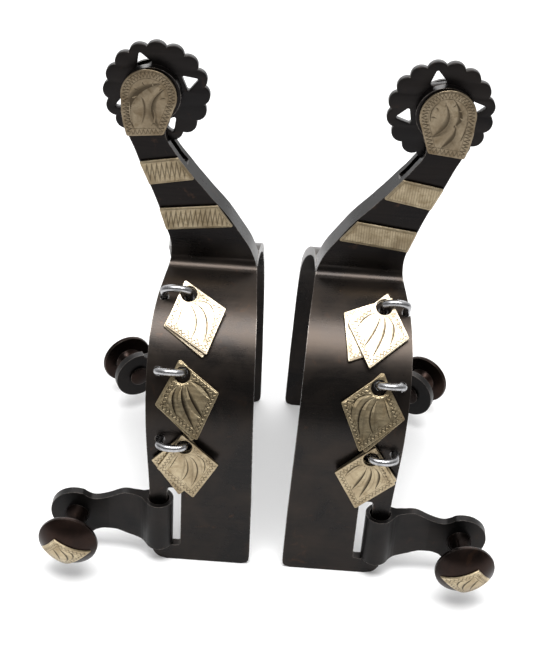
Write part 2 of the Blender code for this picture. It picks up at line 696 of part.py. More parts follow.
def button(frame, rim):
    shorten = rim / HANGERS["outer"]["rim_height"]
    neck = [(r, h if h < NECK_FIXED_H else h * shorten) for r, h in BUTTON_NECK]
    dome_radii = [BUTTON_R * math.cos(math.radians(a)) for a in DOME_DEG] + [0.0]
    profile = (BUTTON_TAIL + neck + [(r, rim + h) for r, h in BUTTON_RIM]
               + [(r, dome_height(r, rim)) for r in dome_radii])
    return turned("button", profile[::-1], BUTTON_SEGMENTS, frame)


def button_patch(frame, rim):
    """Silver diamond bent over the button's dome."""
    bottom, inner, top, outer = PATCH_CORNERS
    points = []
    for j in range(PATCH_CELLS + 1):
        for i in range(PATCH_CELLS + 1):
            s, t = i / PATCH_CELLS, j / PATCH_CELLS
            x, y = (bottom * ((1 - s) * (1 - t)) + inner * (s * (1 - t))
                    + top * (s * t) + outer * ((1 - s) * t))
            points.append((x, y, dome_height(math.hypot(x, y), rim) + GAP + PATCH_T / 2))
    row = PATCH_CELLS + 1
    starts = [j * row + i for j in range(PATCH_CELLS) for i in range(PATCH_CELLS)]
    ob = drawn("button_patch", points, faces=[(k, k + 1, k + row + 1, k + row) for k in starts])
    add_thickness(ob, PATCH_T)
    ob.matrix_world = frame
    return baked(ob)


# -------------------------------------------------------------------- assembly
def finish(ob, name, mat, sign, origin=(0, 0, 0)):
    """Move a piece from the spur's frame to its place in the pair, with its
    origin on the given point; the right spur is mirrored."""
    mesh = ob.data
    bm = bmesh.new()
    bm.from_mesh(mesh)
    home = Vector((sign * (PAIR_HALF_SPACING - origin[0]) * MM,
                   (origin[1] + PAIR_Y) * MM, origin[2] * MM))
    for v in bm.verts:
        world = Vector((sign * (PAIR_HALF_SPACING * MM - v.co.x), v.co.y + PAIR_Y * MM, v.co.z))
        v.co = world - home
    # mirroring turns faces inside out
    bmesh.ops.recalc_face_normals(bm, faces=bm.faces)
    if bm.calc_volume(signed=True) < 0:
        bmesh.ops.reverse_faces(bm, faces=bm.faces)
    bm.to_mesh(mesh)
    bm.free()
    mesh.materials.clear()
    mesh.materials.append(mat)
    mesh.shade_smooth()
    mesh.set_sharp_from_angle(angle=math.radians(SHARP_DEG))
    ob.name = name
    mesh.name = name
    ob.location = home


def build_spur(side, dress):
    def add(ob, name, mat, origin=(0, 0, 0)):
        finish(ob, f"{side}_{name}", mat, dress["sign"], origin)

    rowel_axis = (ROWEL_C[0], 0, ROWEL_C[1])
    add(spur_body(dress), "spur_body", BROWN_STEEL)
    add(rowel(dress["rowel"]), "rowel", BROWN_STEEL, rowel_axis)
    add(rowel_pin(), "rowel_pin", BROWN_STEEL, rowel_axis)
    add(head_overlay(), "head_overlay", SILVER)
    for level, corners in SHANK_BARS.items():
        add(shank_bar(corners, dress["bar_rise"]), f"shank_bar_{level}", SILVER)

    for row, (angle, x_outer, x_inner) in dress["staples"].items():
        add(staple(angle, x_outer, x_inner), f"staple_{row}", BRIGHT_WIRE)
        tilt, *swings = dress["charms"][row]
        for layer, lift, swing in zip(("front", "back"), CHARM_LIFT[row], swings):
            ob, hole = charm(angle, x_inner, lift, tilt, swing)
            add(ob, f"charm_{row}_{layer}", SILVER, hole)

    for which, spec in HANGERS.items():
        shift = dress["back_arm_x"] if which == "inner" else 0.0
        ob, pivot, strap_end = hanger(spec, dress["swing"][which], shift)
        frame = button_frame(spec, strap_end)
        rim = spec["rim_height"]
        add(ob, f"{which}_hanger", BROWN_STEEL, pivot)
        add(button(frame, rim), f"{which}_button", BUTTON_STEEL, pivot)
        add(button_patch(frame, rim), f"{which}_button_patch", SILVER, pivot)


for side_name, side_dress in SIDES.items():
    build_spur(side_name, side_dress)
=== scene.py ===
"""Pair of western show spurs, standing on the tips of their heel bands in a white studio.

Each spur is drawn in its own frame, in millimetres: z is up, the heel band is an arch that spans
y, its decorated side faces -y and its outer edge lies at -x. The shank rises from the band's
crown to the rowel. The left spur is moved to -x; the right one is mirrored and moved to +x.
Steel pieces have fine steps and broken edges, silver pieces carry an engraved face with real
cuts, and all the surfaces are procedural.
"""
import bpy
import bmesh
import math
import numpy as np
from mathutils import Vector, Matrix


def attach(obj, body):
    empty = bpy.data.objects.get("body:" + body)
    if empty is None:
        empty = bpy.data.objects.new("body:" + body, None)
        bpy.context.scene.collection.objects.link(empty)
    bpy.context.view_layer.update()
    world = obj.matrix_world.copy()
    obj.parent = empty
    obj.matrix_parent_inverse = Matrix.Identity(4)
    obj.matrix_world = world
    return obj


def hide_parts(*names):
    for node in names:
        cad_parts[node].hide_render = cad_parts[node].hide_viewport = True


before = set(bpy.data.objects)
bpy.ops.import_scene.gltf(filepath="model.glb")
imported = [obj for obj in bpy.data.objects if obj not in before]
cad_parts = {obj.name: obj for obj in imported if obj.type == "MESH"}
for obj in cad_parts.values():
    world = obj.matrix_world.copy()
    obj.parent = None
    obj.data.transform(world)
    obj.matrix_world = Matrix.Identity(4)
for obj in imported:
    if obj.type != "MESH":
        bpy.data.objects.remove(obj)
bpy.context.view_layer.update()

parts = bpy.data.collections.new("visual")
bpy.context.scene.collection.children.link(parts)

MM = 0.001                    # dimensions are in millimetres, the scene in metres

# ----------------------------------------------------------------- dimensions
PAIR_HALF_SPACING = 21.2      # spur centre line to the pair's middle plane
PAIR_Y = 5.961                # puts the origin under the middle of the pair, buttons included

BAND_R = 44.0                 # outer radius of the heel bend
BAND_T = 2.8                  # band thickness
BAND_MID_R = BAND_R - BAND_T / 2
BAND_ZC = 45.6                # height of the bend's centre
TIP_ROUND_OUT = 4.6           # corner radius at the tip, outer edge
TIP_ROUND_IN = 2.6            # corner radius at the tip, inner edge
TIP_ANGLES = (0, 30, 50, 70, 90)       # steps round the outer corner, degrees
ARM_HEIGHTS = {1.0, 12.0, 24.0, 34.0}  # further cross lines up the arm
BEND_STEPS = 120
# edges of the arm: (height, outer edge x, inner edge x)
ARM_STATIONS = [(0.0, -15.7, 15.8), (12.0, -16.1, 15.6), (24.0, -16.6, 15.4),
                (34.0, -17.0, 15.1), (BAND_ZC, -17.6, 14.8)]
# edges of the bend: (degrees from the arm to the crown, outer edge x, inner edge x)
BEND_STATIONS = [(0.0, -17.6, 14.8), (12.0, -18.1, 14.5), (24.0, -18.5, 14.2),
                 (36.0, -18.7, 13.9), (48.0, -18.6, 13.6), (58.0, -18.1, 13.3),
                 (66.0, -17.4, 12.9), (74.0, -16.4, 12.5), (82.0, -15.5, 12.2),
                 (90.0, -15.2, 12.0)]
BACK_FLATTENING = 1.2         # the back shoulder of the bend sits this much lower
FLATTENED = (100, 160)        # bend angles between which it does, degrees
BACK_SET_FROM_Y = 8.0         # the sideways set of the band's back half starts here

SLOT_X = (-11.2, -6.8)        # hanger slot near each band tip
SLOT_Z = (6.2, 31.0)
SLOT_ROUND = 0.8
BAR_X = -14.0                 # centre of the bar left between slot and edge

SHANK_T = 8.4                 # shank thickness
SHANK_FILLET = 3.5            # fillet between shank and band
BACK_TAPER = 1.6              # the back face leans in towards the head by this much
TAPER_Z = (124.0, 152.0)
SHANK_FOOT_Z = 86.0           # the silhouette ends here, inside the band
SHANK_TOP_Z = 170.0           # the end view is cut off here, above the head
# shank silhouette (x, z), from the head down
SHANK_OUTER = [(-28.4, 133.2), (-27.5, 131.0), (-26.2, 128.0), (-25.1, 125.0),
               (-24.0, 122.0), (-22.8, 119.0), (-21.5, 116.0), (-20.3, 113.0),
               (-19.2, 110.0), (-18.2, 107.0), (-17.2, 104.0), (-16.3, 101.0),
               (-15.4, 98.3), (-15.0, 96.0), (-14.9, 94.0), (-15.0, 91.8),
               (-15.2, 89.4)]
SHANK_INNER = [(-16.9, 135.2), (-17.0, 133.0), (-16.2, 130.6), (-14.5, 128.0),
               (-12.5, 125.0), (-10.1, 122.0), (-7.8, 119.0), (-5.3, 116.0),
               (-2.8, 113.0), (-0.1, 110.0), (2.4, 107.0), (4.5, 104.0),
               (6.5, 101.0), (8.5, 98.0), (9.9, 95.5), (11.0, 92.8),
               (11.8, 90.3), (12.0, 89.0)]
HEAD_C = (-21.2, 145.2)       # shank head
HEAD_R = 8.6
HEAD_ARC = (196.0, -48.0)     # degrees
HEAD_JOIN_OUTER = (-29.6, 138.5)
HEAD_JOIN_INNER = (-15.9, 136.9)
FORK_SLOT = 3.2               # rowel slot width
FORK_FLOOR = 122.5            # height of the slot's floor

ROWEL_C = (-20.1, 144.65)     # rowel axis
ROWEL_T = 2.3
ROWEL_EDGE = 0.32             # edge rounding
ROWEL_LOBES = 16
LOBE_SAMPLES = 14
ROWEL_LOBE_CENTRE_R = 12.5
ROWEL_LOBE_R = 3.2
ROWEL_BORE_R = 1.7
ROWEL_CUTS = 4                # triangular cut-outs
ROWEL_CUT_TIP_R = 13.4
ROWEL_CUT_BASE_R = 9.2
ROWEL_CUT_BASE_DEG = 17.0
ROWEL_CUT_ROUND = 0.5
PIN_R = 1.4
PIN_BORE_R = 1.65
PIN_HEAD_R = 2.7

GAP = 0.3                     # clearance between silver overlay and shank
OVERLAY_T = 0.8
HEAD_OVERLAY_C = (HEAD_C[0] - 0.65, HEAD_C[1] + 0.1)
HEAD_OVERLAY_R = HEAD_R - 0.4
# lower end of the head overlay (x, z); the last two points are corners to be eased
HEAD_TAIL = [(-29.9, 140.0), (-29.4, 136.4), (-28.35, 132.2), (-17.5, 133.3)]
HEAD_TAIL_AIM = (-14.2, 141.5)         # the edge after the last corner heads for this point
HEAD_TAIL_EASE = 0.7
BAR_OVERLAY_T = 0.7
# bars across the shank (x, z): outer top, inner top, inner bottom, outer bottom
SHANK_BARS = {
    "upper": [(-24.3, 123.0), (-12.4, 125.1), (-7.1, 118.2), (-21.2, 115.5)],
    "lower": [(-18.3, 107.6), (-0.1, 109.9), (5.1, 102.8), (-16.0, 100.3)]}
BAR_SLIDE = (-0.40, -0.78, -0.78, -0.40)   # x shift of each corner per unit of bar rise
BAR_ROUND = 0.5
PLATE_EDGE = 0.2              # edge rounding of head overlays and hanging plates
BAR_EDGE = 0.18

WIRE_R = 1.15                 # staple wire
STAPLE_HOLE_R = 1.5
STAPLE_LEG = 3.1              # straight leg above the band
STAPLE_ARCH = 1.8             # rise of the arch above the legs
ARCH_STEPS = 32
CHARM_LONG = 24.9             # long diagonal of the hanging plate, through the hole
CHARM_WIDE = 19.2             # cross diagonal
CHARM_HOLE_R = 2.2
CHARM_CLEAR_R = CHARM_HOLE_R + 0.25    # hole as cut, before its edge is rounded
CHARM_HOLE_AT = 4.8           # hole centre below the upper corner
CHARM_T = 0.9
CHARM_ROUND = 0.5
CHARM_DROP = 0.6              # hole hangs this far below the wire
# height of each plate up the staple leg
CHARM_LIFT = {"top": dict(front=2.95, back=1.7), "middle": dict(front=2.4, back=1.1),
              "bottom": dict(front=2.4, back=1.1)}

STRAP_T = 1.3                 # one layer of the folded hanger
STRAP_BACK = 0.9              # the flat strap sits behind the middle of its loop
STRAP_JOIN = 8.0              # the two layers meet this far from the bar
LOOP_R_IN = 3.35
HANGER_Z = 16.3
BUTTON_Z = HANGER_Z - 0.2     # height of the button's axis
HANGER_END_R = 8.7
HANGER_REACH = {"outer": 26.0, "inner": 18.6}
HANGER_BEND_AT = 16.0         # the end of the strap is bent inwards from here
HANGER_BEND = 6.0             # degrees
HANGER_FIXED = 3              # the outline is not stretched this close to the bar
# side outline of the hanger at full reach: (distance from the bar, height)
HANGER_TOP = [(-6.0, 25.2), (0.0, 25.2), (3.4, 25.3), (7.0, 26.2), (11.0, 26.7),
              (15.0, 25.0), (18.6, 23.5), (21.0, 23.15), (22.9, 23.85)]
HANGER_BOTTOM = [(20.2, 10.0), (17.4, 11.1), (13.6, 11.0), (10.0, 9.4), (7.0, 8.2),
                 (4.4, 7.5), (1.6, 6.8), (-6.0, 6.8)]

BUTTON_BORE_R = 2.15
# turned profile of a button, (radius, height above the hanger's face)
BUTTON_TAIL = [(0.0, -3.7), (3.2, -3.7), (3.7, -3.4), (3.7, -2.95), (1.9, -2.95)]
BUTTON_NECK = [(1.9, 0.3), (3.9, 0.3), (3.75, 1.4), (3.25, 3.6), (3.1, 6.2),
               (3.5, 8.6), (4.8, 10.4)]
BUTTON_RIM = [(7.4, -1.6), (9.15, -1.2), (9.4, -0.7), (9.35, 0.0)]   # heights from the rim
BUTTON_DOME_H = 3.9
BUTTON_RIM_H = {"outer": 12.9, "inner": 9.4}   # the inner side's button is shorter
BUTTON_R = 9.35
BUTTON_SEGMENTS = 72
PATCH_T = 0.5
# silver diamond on each button, low on the dome: bottom, inner, top and outer corners
PATCH_CORNERS = [(-0.5, -8.6), (7.7, -1.3), (-3.4, 3.5), (-8.0, -2.3)]
PATCH_FLAT = 10.4             # the diamond's side as it is laid flat for cutting
PATCH_STEPS = 72
PATCH_FIELD = 0.2             # uncut height in the flat diamond's height field
PATCH_SEAT = 0.12             # the diamond's underside lies this far above the dome

# how each spur is dressed:
#   rowel       turn of the rowel, degrees
#   staples     (bend angle, outer leg x, inner leg x)
#   charms      (lean of the plates from upright, hang of the front one, of the back one), degrees
#   bar_rise    height added to the shank bars
#   back_arm_x  sideways set of the band's back arm
#   hanger      swing of each hanger, degrees
SIDES = {
    "left": dict(
        sign=-1, rowel=22.5,
        staples={"top": (65.6, -15.4, -7.7), "middle": (34.6, -15.1, -7.6),
                 "bottom": (6.3, -13.6, -5.9)},
        charms={"top": (51.5, 20.0, 16.5), "middle": (35.0, 16.5, 12.5),
                "bottom": (2.0, 9.0, -4.0)},
        bar_rise=1.1, back_arm_x=-0.6, hanger={"outer": 2.0, "inner": -25.0}),
    "right": dict(
        sign=1, rowel=79.0,
        staples={"top": (65.8, -16.3, -9.2), "middle": (35.0, -16.0, -8.9),
                 "bottom": (6.8, -15.7, -8.5)},
        charms={"top": (52.0, 10.5, 30.0), "middle": (35.0, 13.5, 8.0),
                "bottom": (2.0, 9.0, 6.0)},
        bar_rise=-1.1, back_arm_x=2.0, hanger={"outer": 2.0, "inner": -24.0}),
}

# ------------------------------------------------------------ engraving tables
# graver cuts on the head overlay (x, z): start, through, end, width, lean, depth
HEAD_CUTS = {
    "left": [
        ((-25.9, 134.8), (-26.2, 143.4), (-18.4, 149.6), 2.3, 0.25, 0.12),
        ((-24.0, 136.4), (-22.8, 141.4), (-24.0, 145.2), 0.55, -0.2, 0.10),
        ((-17.0, 148.2), (-21.0, 142.4), (-18.8, 135.8), 1.55, -0.3, 0.12),
        ((-21.2, 136.0), (-19.9, 138.6), (-20.6, 141.4), 0.45, 0.3, 0.10)],
    "right": [
        ((-22.8, 151.0), (-26.0, 145.6), (-23.7, 142.4), 1.7, 0.3, 0.12),
        ((-20.7, 149.3), (-22.1, 143.6), (-18.0, 138.9), 1.6, -0.3, 0.12),
        ((-24.2, 143.2), (-24.4, 138.8), (-20.9, 135.4), 1.6, 0.3, 0.12),
        ((-19.0, 150.0), (-17.2, 147.2), (-17.0, 143.6), 0.5, 0.3, 0.10),
        ((-27.2, 146.6), (-27.6, 142.0), (-26.2, 138.0), 0.55, 0.3, 0.10)],
}
# leaf cuts on a hanging plate, from its hole: start, through, end, width
LEAVES = [((0.4, -3.1), (2.1, -8.2), (0.1, -16.2), 1.10),
          ((-0.6, -3.1), (-0.8, -8.4), (-3.1, -13.8), 0.95),
          ((1.6, -2.8), (4.7, -6.0), (4.3, -11.6), 0.85),
          ((2.5, -1.7), (5.3, -3.0), (7.3, -6.5), 0.55),
          ((-1.9, -2.5), (-4.3, -4.6), (-6.5, -8.7), 0.68)]
LEAF_FIXED_Y = -3.2           # leaf points above this keep their height when leaves are stretched
# short nicks between the leaves: x, y of the upper end, length
NICKS = [(0.9, -15.0, 1.6), (-1.8, -13.4, 1.9), (4.9, -10.3, 1.5),
         (-3.6, -11.0, 1.4), (5.9, -6.6, 1.2), (-5.9, -6.8, 1.2)]
# how the leaves differ by row: mirroring, stretch and widening
CHARM_LEAVES = {"top": dict(mirror=1, stretch=1.0, widen=1.1),
                "middle": dict(mirror=-1, stretch=1.03, widen=1.45),
                "bottom": dict(mirror=1, stretch=0.94, widen=1.2)}
# leaf cuts on a button's diamond, laid flat: start, through, end, width
PATCH_CUTS = [((-3.2, -3.4), (0.8, -1.6), (3.0, 2.6), 0.62),
              ((-3.4, -1.6), (-0.8, 0.6), (0.6, 3.4), 0.55),
              ((-1.4, -3.6), (2.2, -2.6), (3.6, -0.2), 0.42)]


# --------------------------------------------------------------- mesh helpers
def new_object(name, mesh):
    ob = bpy.data.objects.new(name, mesh)
    parts.objects.link(ob)
    return ob


def weld(mesh, distance=0.01 * MM):
    bm = bmesh.new()
    bm.from_mesh(mesh)
    bmesh.ops.remove_doubles(bm, verts=bm.verts, dist=distance)
    bmesh.ops.recalc_face_normals(bm, faces=bm.faces)
    bm.to_mesh(mesh)
    bm.free()


def baked(ob):
    """Replace an object by the mesh it evaluates to, in the spur's frame."""
    bpy.context.view_layer.update()
    depsgraph = bpy.context.evaluated_depsgraph_get()
    mesh = bpy.data.meshes.new_from_object(ob.evaluated_get(depsgraph))
    mesh.transform(ob.matrix_world)
    weld(mesh)
    name = ob.name
    bpy.data.objects.remove(ob, do_unlink=True)
    return new_object(name, mesh)


def combine(ob, tool, operation):
    """Boolean with the exact solver; the tool object is used up."""
    mod = ob.modifiers.new(operation.lower(), "BOOLEAN")
    mod.operation = operation
    mod.solver = "EXACT"
    mod.object = tool
    result = baked(ob)
    bpy.data.objects.remove(tool, do_unlink=True)
    return result


def plate(name, outline, thickness, place, holes=(), edge=0.0):
    """Flat piece from a filled 2D curve, its edges rounded by a radius if one is given."""
    curve = bpy.data.curves.new(name, "CURVE")
    curve.dimensions = "2D"
    curve.fill_mode = "BOTH"
    curve.extrude = (thickness / 2 - edge) * MM
    if edge:
        curve.bevel_depth = edge * MM
        curve.bevel_resolution = 2
        curve.offset = -edge * MM
    for loop in (outline, *holes):
        spline = curve.splines.new("POLY")
        spline.points.add(len(loop) - 1)
        for point, (x, y) in zip(spline.points, loop):
            point.co = (x * MM, y * MM, 0.0, 1.0)
        spline.use_cyclic_u = True
    ob = new_object(name, curve)
    ob.matrix_world = place
    return baked(ob)


def axes_frame(origin, x_axis, y_axis, z_axis):
    """Matrix that sends a piece's own axes to the given ones at an origin in mm."""
    axes = (Vector(x_axis), Vector(y_axis), Vector(z_axis))
    place = Matrix(axes).transposed().to_4x4()
    place.translation = Vector(origin) * MM
    return place


def side_frame(y):
    """Frame for outlines drawn in (x, z): the plate's normal is -y."""
    return axes_frame((0, y, 0), (1, 0, 0), (0, 0, 1), (0, -1, 0))


def turned(name, profile, segments, place):
    """Turned shape: a profile of (radius, height) about its own z axis."""
    mesh = bpy.data.meshes.new(name)
    bm = bmesh.new()
    verts = [bm.verts.new((radius * MM, 0, height * MM)) for radius, height in profile]
    for pair in zip(verts, verts[1:]):
        bm.edges.new(pair)
    bm.to_mesh(mesh)
    bm.free()
    ob = new_object(name, mesh)
    mod = ob.modifiers.new("turn", "SCREW")
    mod.angle = math.tau
    mod.steps = segments
    mod.render_steps = segments
    mod.use_merge_vertices = True
    mod.merge_threshold = 0.00001
    mod.use_smooth_shade = True
    ob.matrix_world = place
    return baked(ob)


def rod(name, radius, start, end, sides):
    """Straight round bar between two points (mm)."""
    start, end = Vector(start) * MM, Vector(end) * MM
    along = end - start
    mesh = bpy.data.meshes.new(name)
    bm = bmesh.new()
    bmesh.ops.create_cone(bm, cap_ends=True, segments=sides, radius1=radius * MM,
                          radius2=radius * MM, depth=along.length)
    bm.to_mesh(mesh)
    bm.free()
    ob = new_object(name, mesh)
    aim = along.to_track_quat("Z", "Y").to_matrix().to_4x4()
    ob.matrix_world = Matrix.Translation((start + end) / 2) @ aim
    return ob


def block(name, low, high):
    mesh = bpy.data.meshes.new(name)
    bm = bmesh.new()
    bmesh.ops.create_cube(bm, size=1.0)
    bm.to_mesh(mesh)
    bm.free()
    ob = new_object(name, mesh)
    low, high = Vector(low) * MM, Vector(high) * MM
    scale = Matrix.Diagonal((*(high - low), 1.0))
    ob.matrix_world = Matrix.Translation((low + high) / 2) @ scale
    return ob


def wire(name, points, radius):
    curve = bpy.data.curves.new(name, "CURVE")
    curve.dimensions = "3D"
    curve.bevel_depth = radius * MM
    curve.bevel_resolution = 6
    curve.use_fill_caps = True
    spline = curve.splines.new("POLY")
    spline.points.add(len(points) - 1)
    for point, place in zip(spline.points, points):
        point.co = (*(Vector(place) * MM), 1.0)
    return baked(new_object(name, curve))


def soften(ob, width, angle):
    """Break the edges sharper than an angle, live on the object."""
    mod = ob.modifiers.new("broken edge", "BEVEL")
    mod.width = width * MM
    mod.segments = 2
    mod.limit_method = "ANGLE"
    mod.angle_limit = math.radians(angle)
    mod.harden_normals = False
    mod.miter_outer = "MITER_ARC"
    ob.modifiers.new("normals", "WEIGHTED_NORMAL").keep_sharp = True
    return ob


def mount(ob, side, material, crease, body, node=None):
    """Move a piece from the spur's frame to its place in the pair, give it its
    material and register it; edges sharper than the crease angle stay sharp."""
    sign = SIDES[side]["sign"]
    mesh = ob.data
    bm = bmesh.new()
    bm.from_mesh(mesh)
    for vert in bm.verts:
        x, y, z = vert.co
        vert.co = Vector((sign * (PAIR_HALF_SPACING * MM - x), y + PAIR_Y * MM, z))
    if sign > 0:                                  # mirrored, so turn the faces back out
        bmesh.ops.reverse_faces(bm, faces=bm.faces)
    bm.to_mesh(mesh)
    bm.free()
    mesh.materials.clear()
    mesh.materials.append(material)
    mesh.shade_smooth()
    mesh.set_sharp_from_angle(angle=math.radians(crease))
    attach(ob, body)
    if node:
        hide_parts(node)


# -------------------------------------------------------------- outline helpers
def circle(radius, count):
    return [(radius * math.cos(math.tau * i / count), radius * math.sin(math.tau * i / count))
            for i in range(count)]


def arc(centre_x, centre_y, radius, start, end, count):
    """Points on an arc between two angles in degrees."""
    angles = [math.radians(start + (end - start) * i / (count - 1)) for i in range(count)]
    return [(centre_x + radius * math.cos(angle), centre_y + radius * math.sin(angle))
            for angle in angles]


def rounded(points, radius, steps):
    """Polygon with its corners rounded to a radius."""
    out = []
    count = len(points)
    for i in range(count):
        corner = Vector(points[i])
        before = (Vector(points[i - 1]) - corner).normalized()
        after = (Vector(points[(i + 1) % count]) - corner).normalized()
        half = before.angle(after) / 2
        reach = radius / math.tan(half)
        centre = corner + (before + after).normalized() * (radius / math.sin(half))
        first = corner + before * reach - centre
        last = corner + after * reach - centre
        turn = first.angle_signed(last)
        for k in range(steps + 1):
            angle = -turn * k / steps
            cos, sin = math.cos(angle), math.sin(angle)
            out.append((centre.x + first.x * cos - first.y * sin,
                        centre.y + first.x * sin + first.y * cos))
    return out


def smooth_line(points, steps):
    """Catmull-Rom line through control points."""
    out = []
    for i in range(len(points) - 1):
        before = Vector(points[max(i - 1, 0)])
        start, end = Vector(points[i]), Vector(points[i + 1])
        after = Vector(points[min(i + 2, len(points) - 1)])
        for k in range(steps):
            t = k / steps
            point = 0.5 * ((2 * start) + (end - before) * t
                           + (2 * before - 5 * start + 4 * end - after) * t * t
                           + (3 * start - before - 3 * end + after) * t ** 3)
            out.append((point.x, point.y))
    out.append(tuple(points[-1]))
    return out


def band_edges(stations, at):
    """Linear look-up of the outer and inner edge in a table of stations."""
    for (low, outer0, inner0), (high, outer1, inner1) in zip(stations, stations[1:]):
        if at <= high:
            t = (at - low) / (high - low)
            return outer0 + (outer1 - outer0) * t, inner0 + (inner1 - inner0) * t
    return stations[-1][1:]


def bend_point(angle, radius):
    """Point (y, z) of the heel bend: 0 degrees on the decorated side, 90 at the crown."""
    start, end = FLATTENED
    if start < angle < end:
        radius -= BACK_FLATTENING * math.sin(math.pi * (angle - start) / (end - start)) ** 2
    angle = math.radians(angle)
    return -radius * math.cos(angle), BAND_ZC + radius * math.sin(angle)


# ----------------------------------------------------------------- steel pieces
def corner_inset(z, radius):
    """How far a rounded tip corner draws the band's edge in at a height."""
    if z >= radius:
        return 0.0
    below = radius - z
    return radius - math.sqrt(radius ** 2 - below ** 2)


def back_set(y, back_arm_x):
    """Sideways set of the band's back half, growing from the crown to the arm."""
    t = (y - BACK_SET_FROM_Y) / (BAND_R - BAND_T - BACK_SET_FROM_Y)
    t = min(max(t, 0.0), 1.0)
    return back_arm_x * t * t * (3 - 2 * t)


def heel_band(back_arm_x):
    """Open arched sheet given its thickness by Solidify."""
    arm = []                                      # rows of (y, z, outer x, inner x)
    heights = {round(TIP_ROUND_OUT * (1 - math.cos(math.radians(angle))), 4)
               for angle in TIP_ANGLES}
    for z in sorted(heights | ARM_HEIGHTS):
        outer, inner = band_edges(ARM_STATIONS, z)
        arm.append((-BAND_MID_R, z, outer + corner_inset(z, TIP_ROUND_OUT),
                    inner - corner_inset(z, TIP_ROUND_IN)))
    rows = list(arm)
    for k in range(BEND_STEPS + 1):
        angle = 180.0 * k / BEND_STEPS
        rows.append((*bend_point(angle, BAND_MID_R),
                     *band_edges(BEND_STATIONS, min(angle, 180 - angle))))
    rows += [(-y, z, outer, inner) for y, z, outer, inner in reversed(arm)]
    mesh = bpy.data.meshes.new("band")
    bm = bmesh.new()
    lines = []
    for y, z, outer, inner in rows:
        shift = back_set(y, back_arm_x)
        lines.append([bm.verts.new(((x + shift) * MM, y * MM, z * MM)) for x in (outer, inner)])
    for (outer0, inner0), (outer1, inner1) in zip(lines, lines[1:]):
        bm.faces.new((outer0, inner0, inner1, outer1))
    bm.to_mesh(mesh)
    bm.free()
    ob = new_object("band", mesh)
    mod = ob.modifiers.new("thickness", "SOLIDIFY")
    mod.thickness = BAND_T * MM
    mod.offset = 0.0
    mod.use_even_offset = True
    return baked(ob)


def shank():
    """Silhouette in (x, z) met with an end view in (y, z) that flares into the band."""
    # up the outer edge, round the head and down the inner edge
    outline = ([(SHANK_OUTER[-1][0], SHANK_FOOT_Z)] + smooth_line(SHANK_OUTER[::-1], 3)
               + [HEAD_JOIN_OUTER] + arc(*HEAD_C, HEAD_R, *HEAD_ARC, 56) + [HEAD_JOIN_INNER]
               + smooth_line(SHANK_INNER, 3) + [(SHANK_INNER[-1][0], SHANK_FOOT_Z)])
    side = plate("shank", outline, 40.0, side_frame(0))

    half = SHANK_T / 2
    fillet_y = half + SHANK_FILLET
    fillet_z = BAND_ZC + math.sqrt((BAND_R + SHANK_FILLET) ** 2 - fillet_y ** 2)
    end = math.degrees(math.atan2(BAND_ZC - fillet_z, -fillet_y))   # towards the bend's centre
    flare = arc(fillet_y, fillet_z, SHANK_FILLET, 180.0, end + 360.0, 14)
    root_y, root_z = flare[-1]
    scale = BAND_MID_R / BAND_R
    flare.append((root_y * scale, BAND_ZC + (root_z - BAND_ZC) * scale))
    front_line = [(half, SHANK_TOP_Z)] + flare
    back_line = [(half - BACK_TAPER, SHANK_TOP_Z), (half - BACK_TAPER, TAPER_Z[1]),
                 (half, TAPER_Z[0])] + flare
    outline = ([(-y, z) for y, z in front_line] + [(0.0, BAND_ZC + BAND_R - BAND_T / 2)]
               + back_line[::-1])
    end_view = plate("end_view", outline, 80.0,
                     axes_frame((0, 0, 0), (0, 1, 0), (0, 0, 1), (1, 0, 0)))
    return combine(side, end_view, "INTERSECT")


def spur_body(name, dress):
    """Band and shank in one piece, with rowel fork, pin bore, hanger slots and staple holes."""
    ob = combine(heel_band(dress["back_arm_x"]), shank(), "UNION")
    fork = block("fork", (-50, -FORK_SLOT / 2, FORK_FLOOR), (5, FORK_SLOT / 2, SHANK_TOP_Z))
    ob = combine(ob, fork, "DIFFERENCE")
    axis_x, axis_z = ROWEL_C
    bore = rod("bore", PIN_BORE_R, (axis_x, -20, axis_z), (axis_x, 20, axis_z), 48)
    ob = combine(ob, bore, "DIFFERENCE")
    for y, shift in ((-BAND_R, 0.0), (BAND_R, dress["back_arm_x"])):
        low, high = SLOT_X[0] + shift, SLOT_X[1] + shift
        corners = [(low, SLOT_Z[0]), (high, SLOT_Z[0]), (high, SLOT_Z[1]), (low, SLOT_Z[1])]
        slot = plate("slot", rounded(corners, SLOT_ROUND, 2), 20.0, side_frame(y))
        ob = combine(ob, slot, "DIFFERENCE")
    for angle, *legs in dress["staples"].values():
        for x in legs:
            hole = rod("hole", STAPLE_HOLE_R, (x, *bend_point(angle, BAND_R - 8)),
                       (x, *bend_point(angle, BAND_R + 8)), 32)
            ob = combine(ob, hole, "DIFFERENCE")
    ob.name = name
    return ob


def rowel_outline(turn):
    """Scalloped rim about the rowel's axis."""
    step = 360.0 / ROWEL_LOBES
    points = []
    for i in range(ROWEL_LOBES * LOBE_SAMPLES):
        angle = step * i / LOBE_SAMPLES
        from_lobe = math.radians((angle + step / 2) % step - step / 2)
        across = ROWEL_LOBE_CENTRE_R * math.sin(from_lobe)
        radius = (ROWEL_LOBE_CENTRE_R * math.cos(from_lobe)
                  + math.sqrt(ROWEL_LOBE_R ** 2 - across ** 2))
        angle = math.radians(angle + turn)
        points.append((radius * math.cos(angle), radius * math.sin(angle)))
    return points


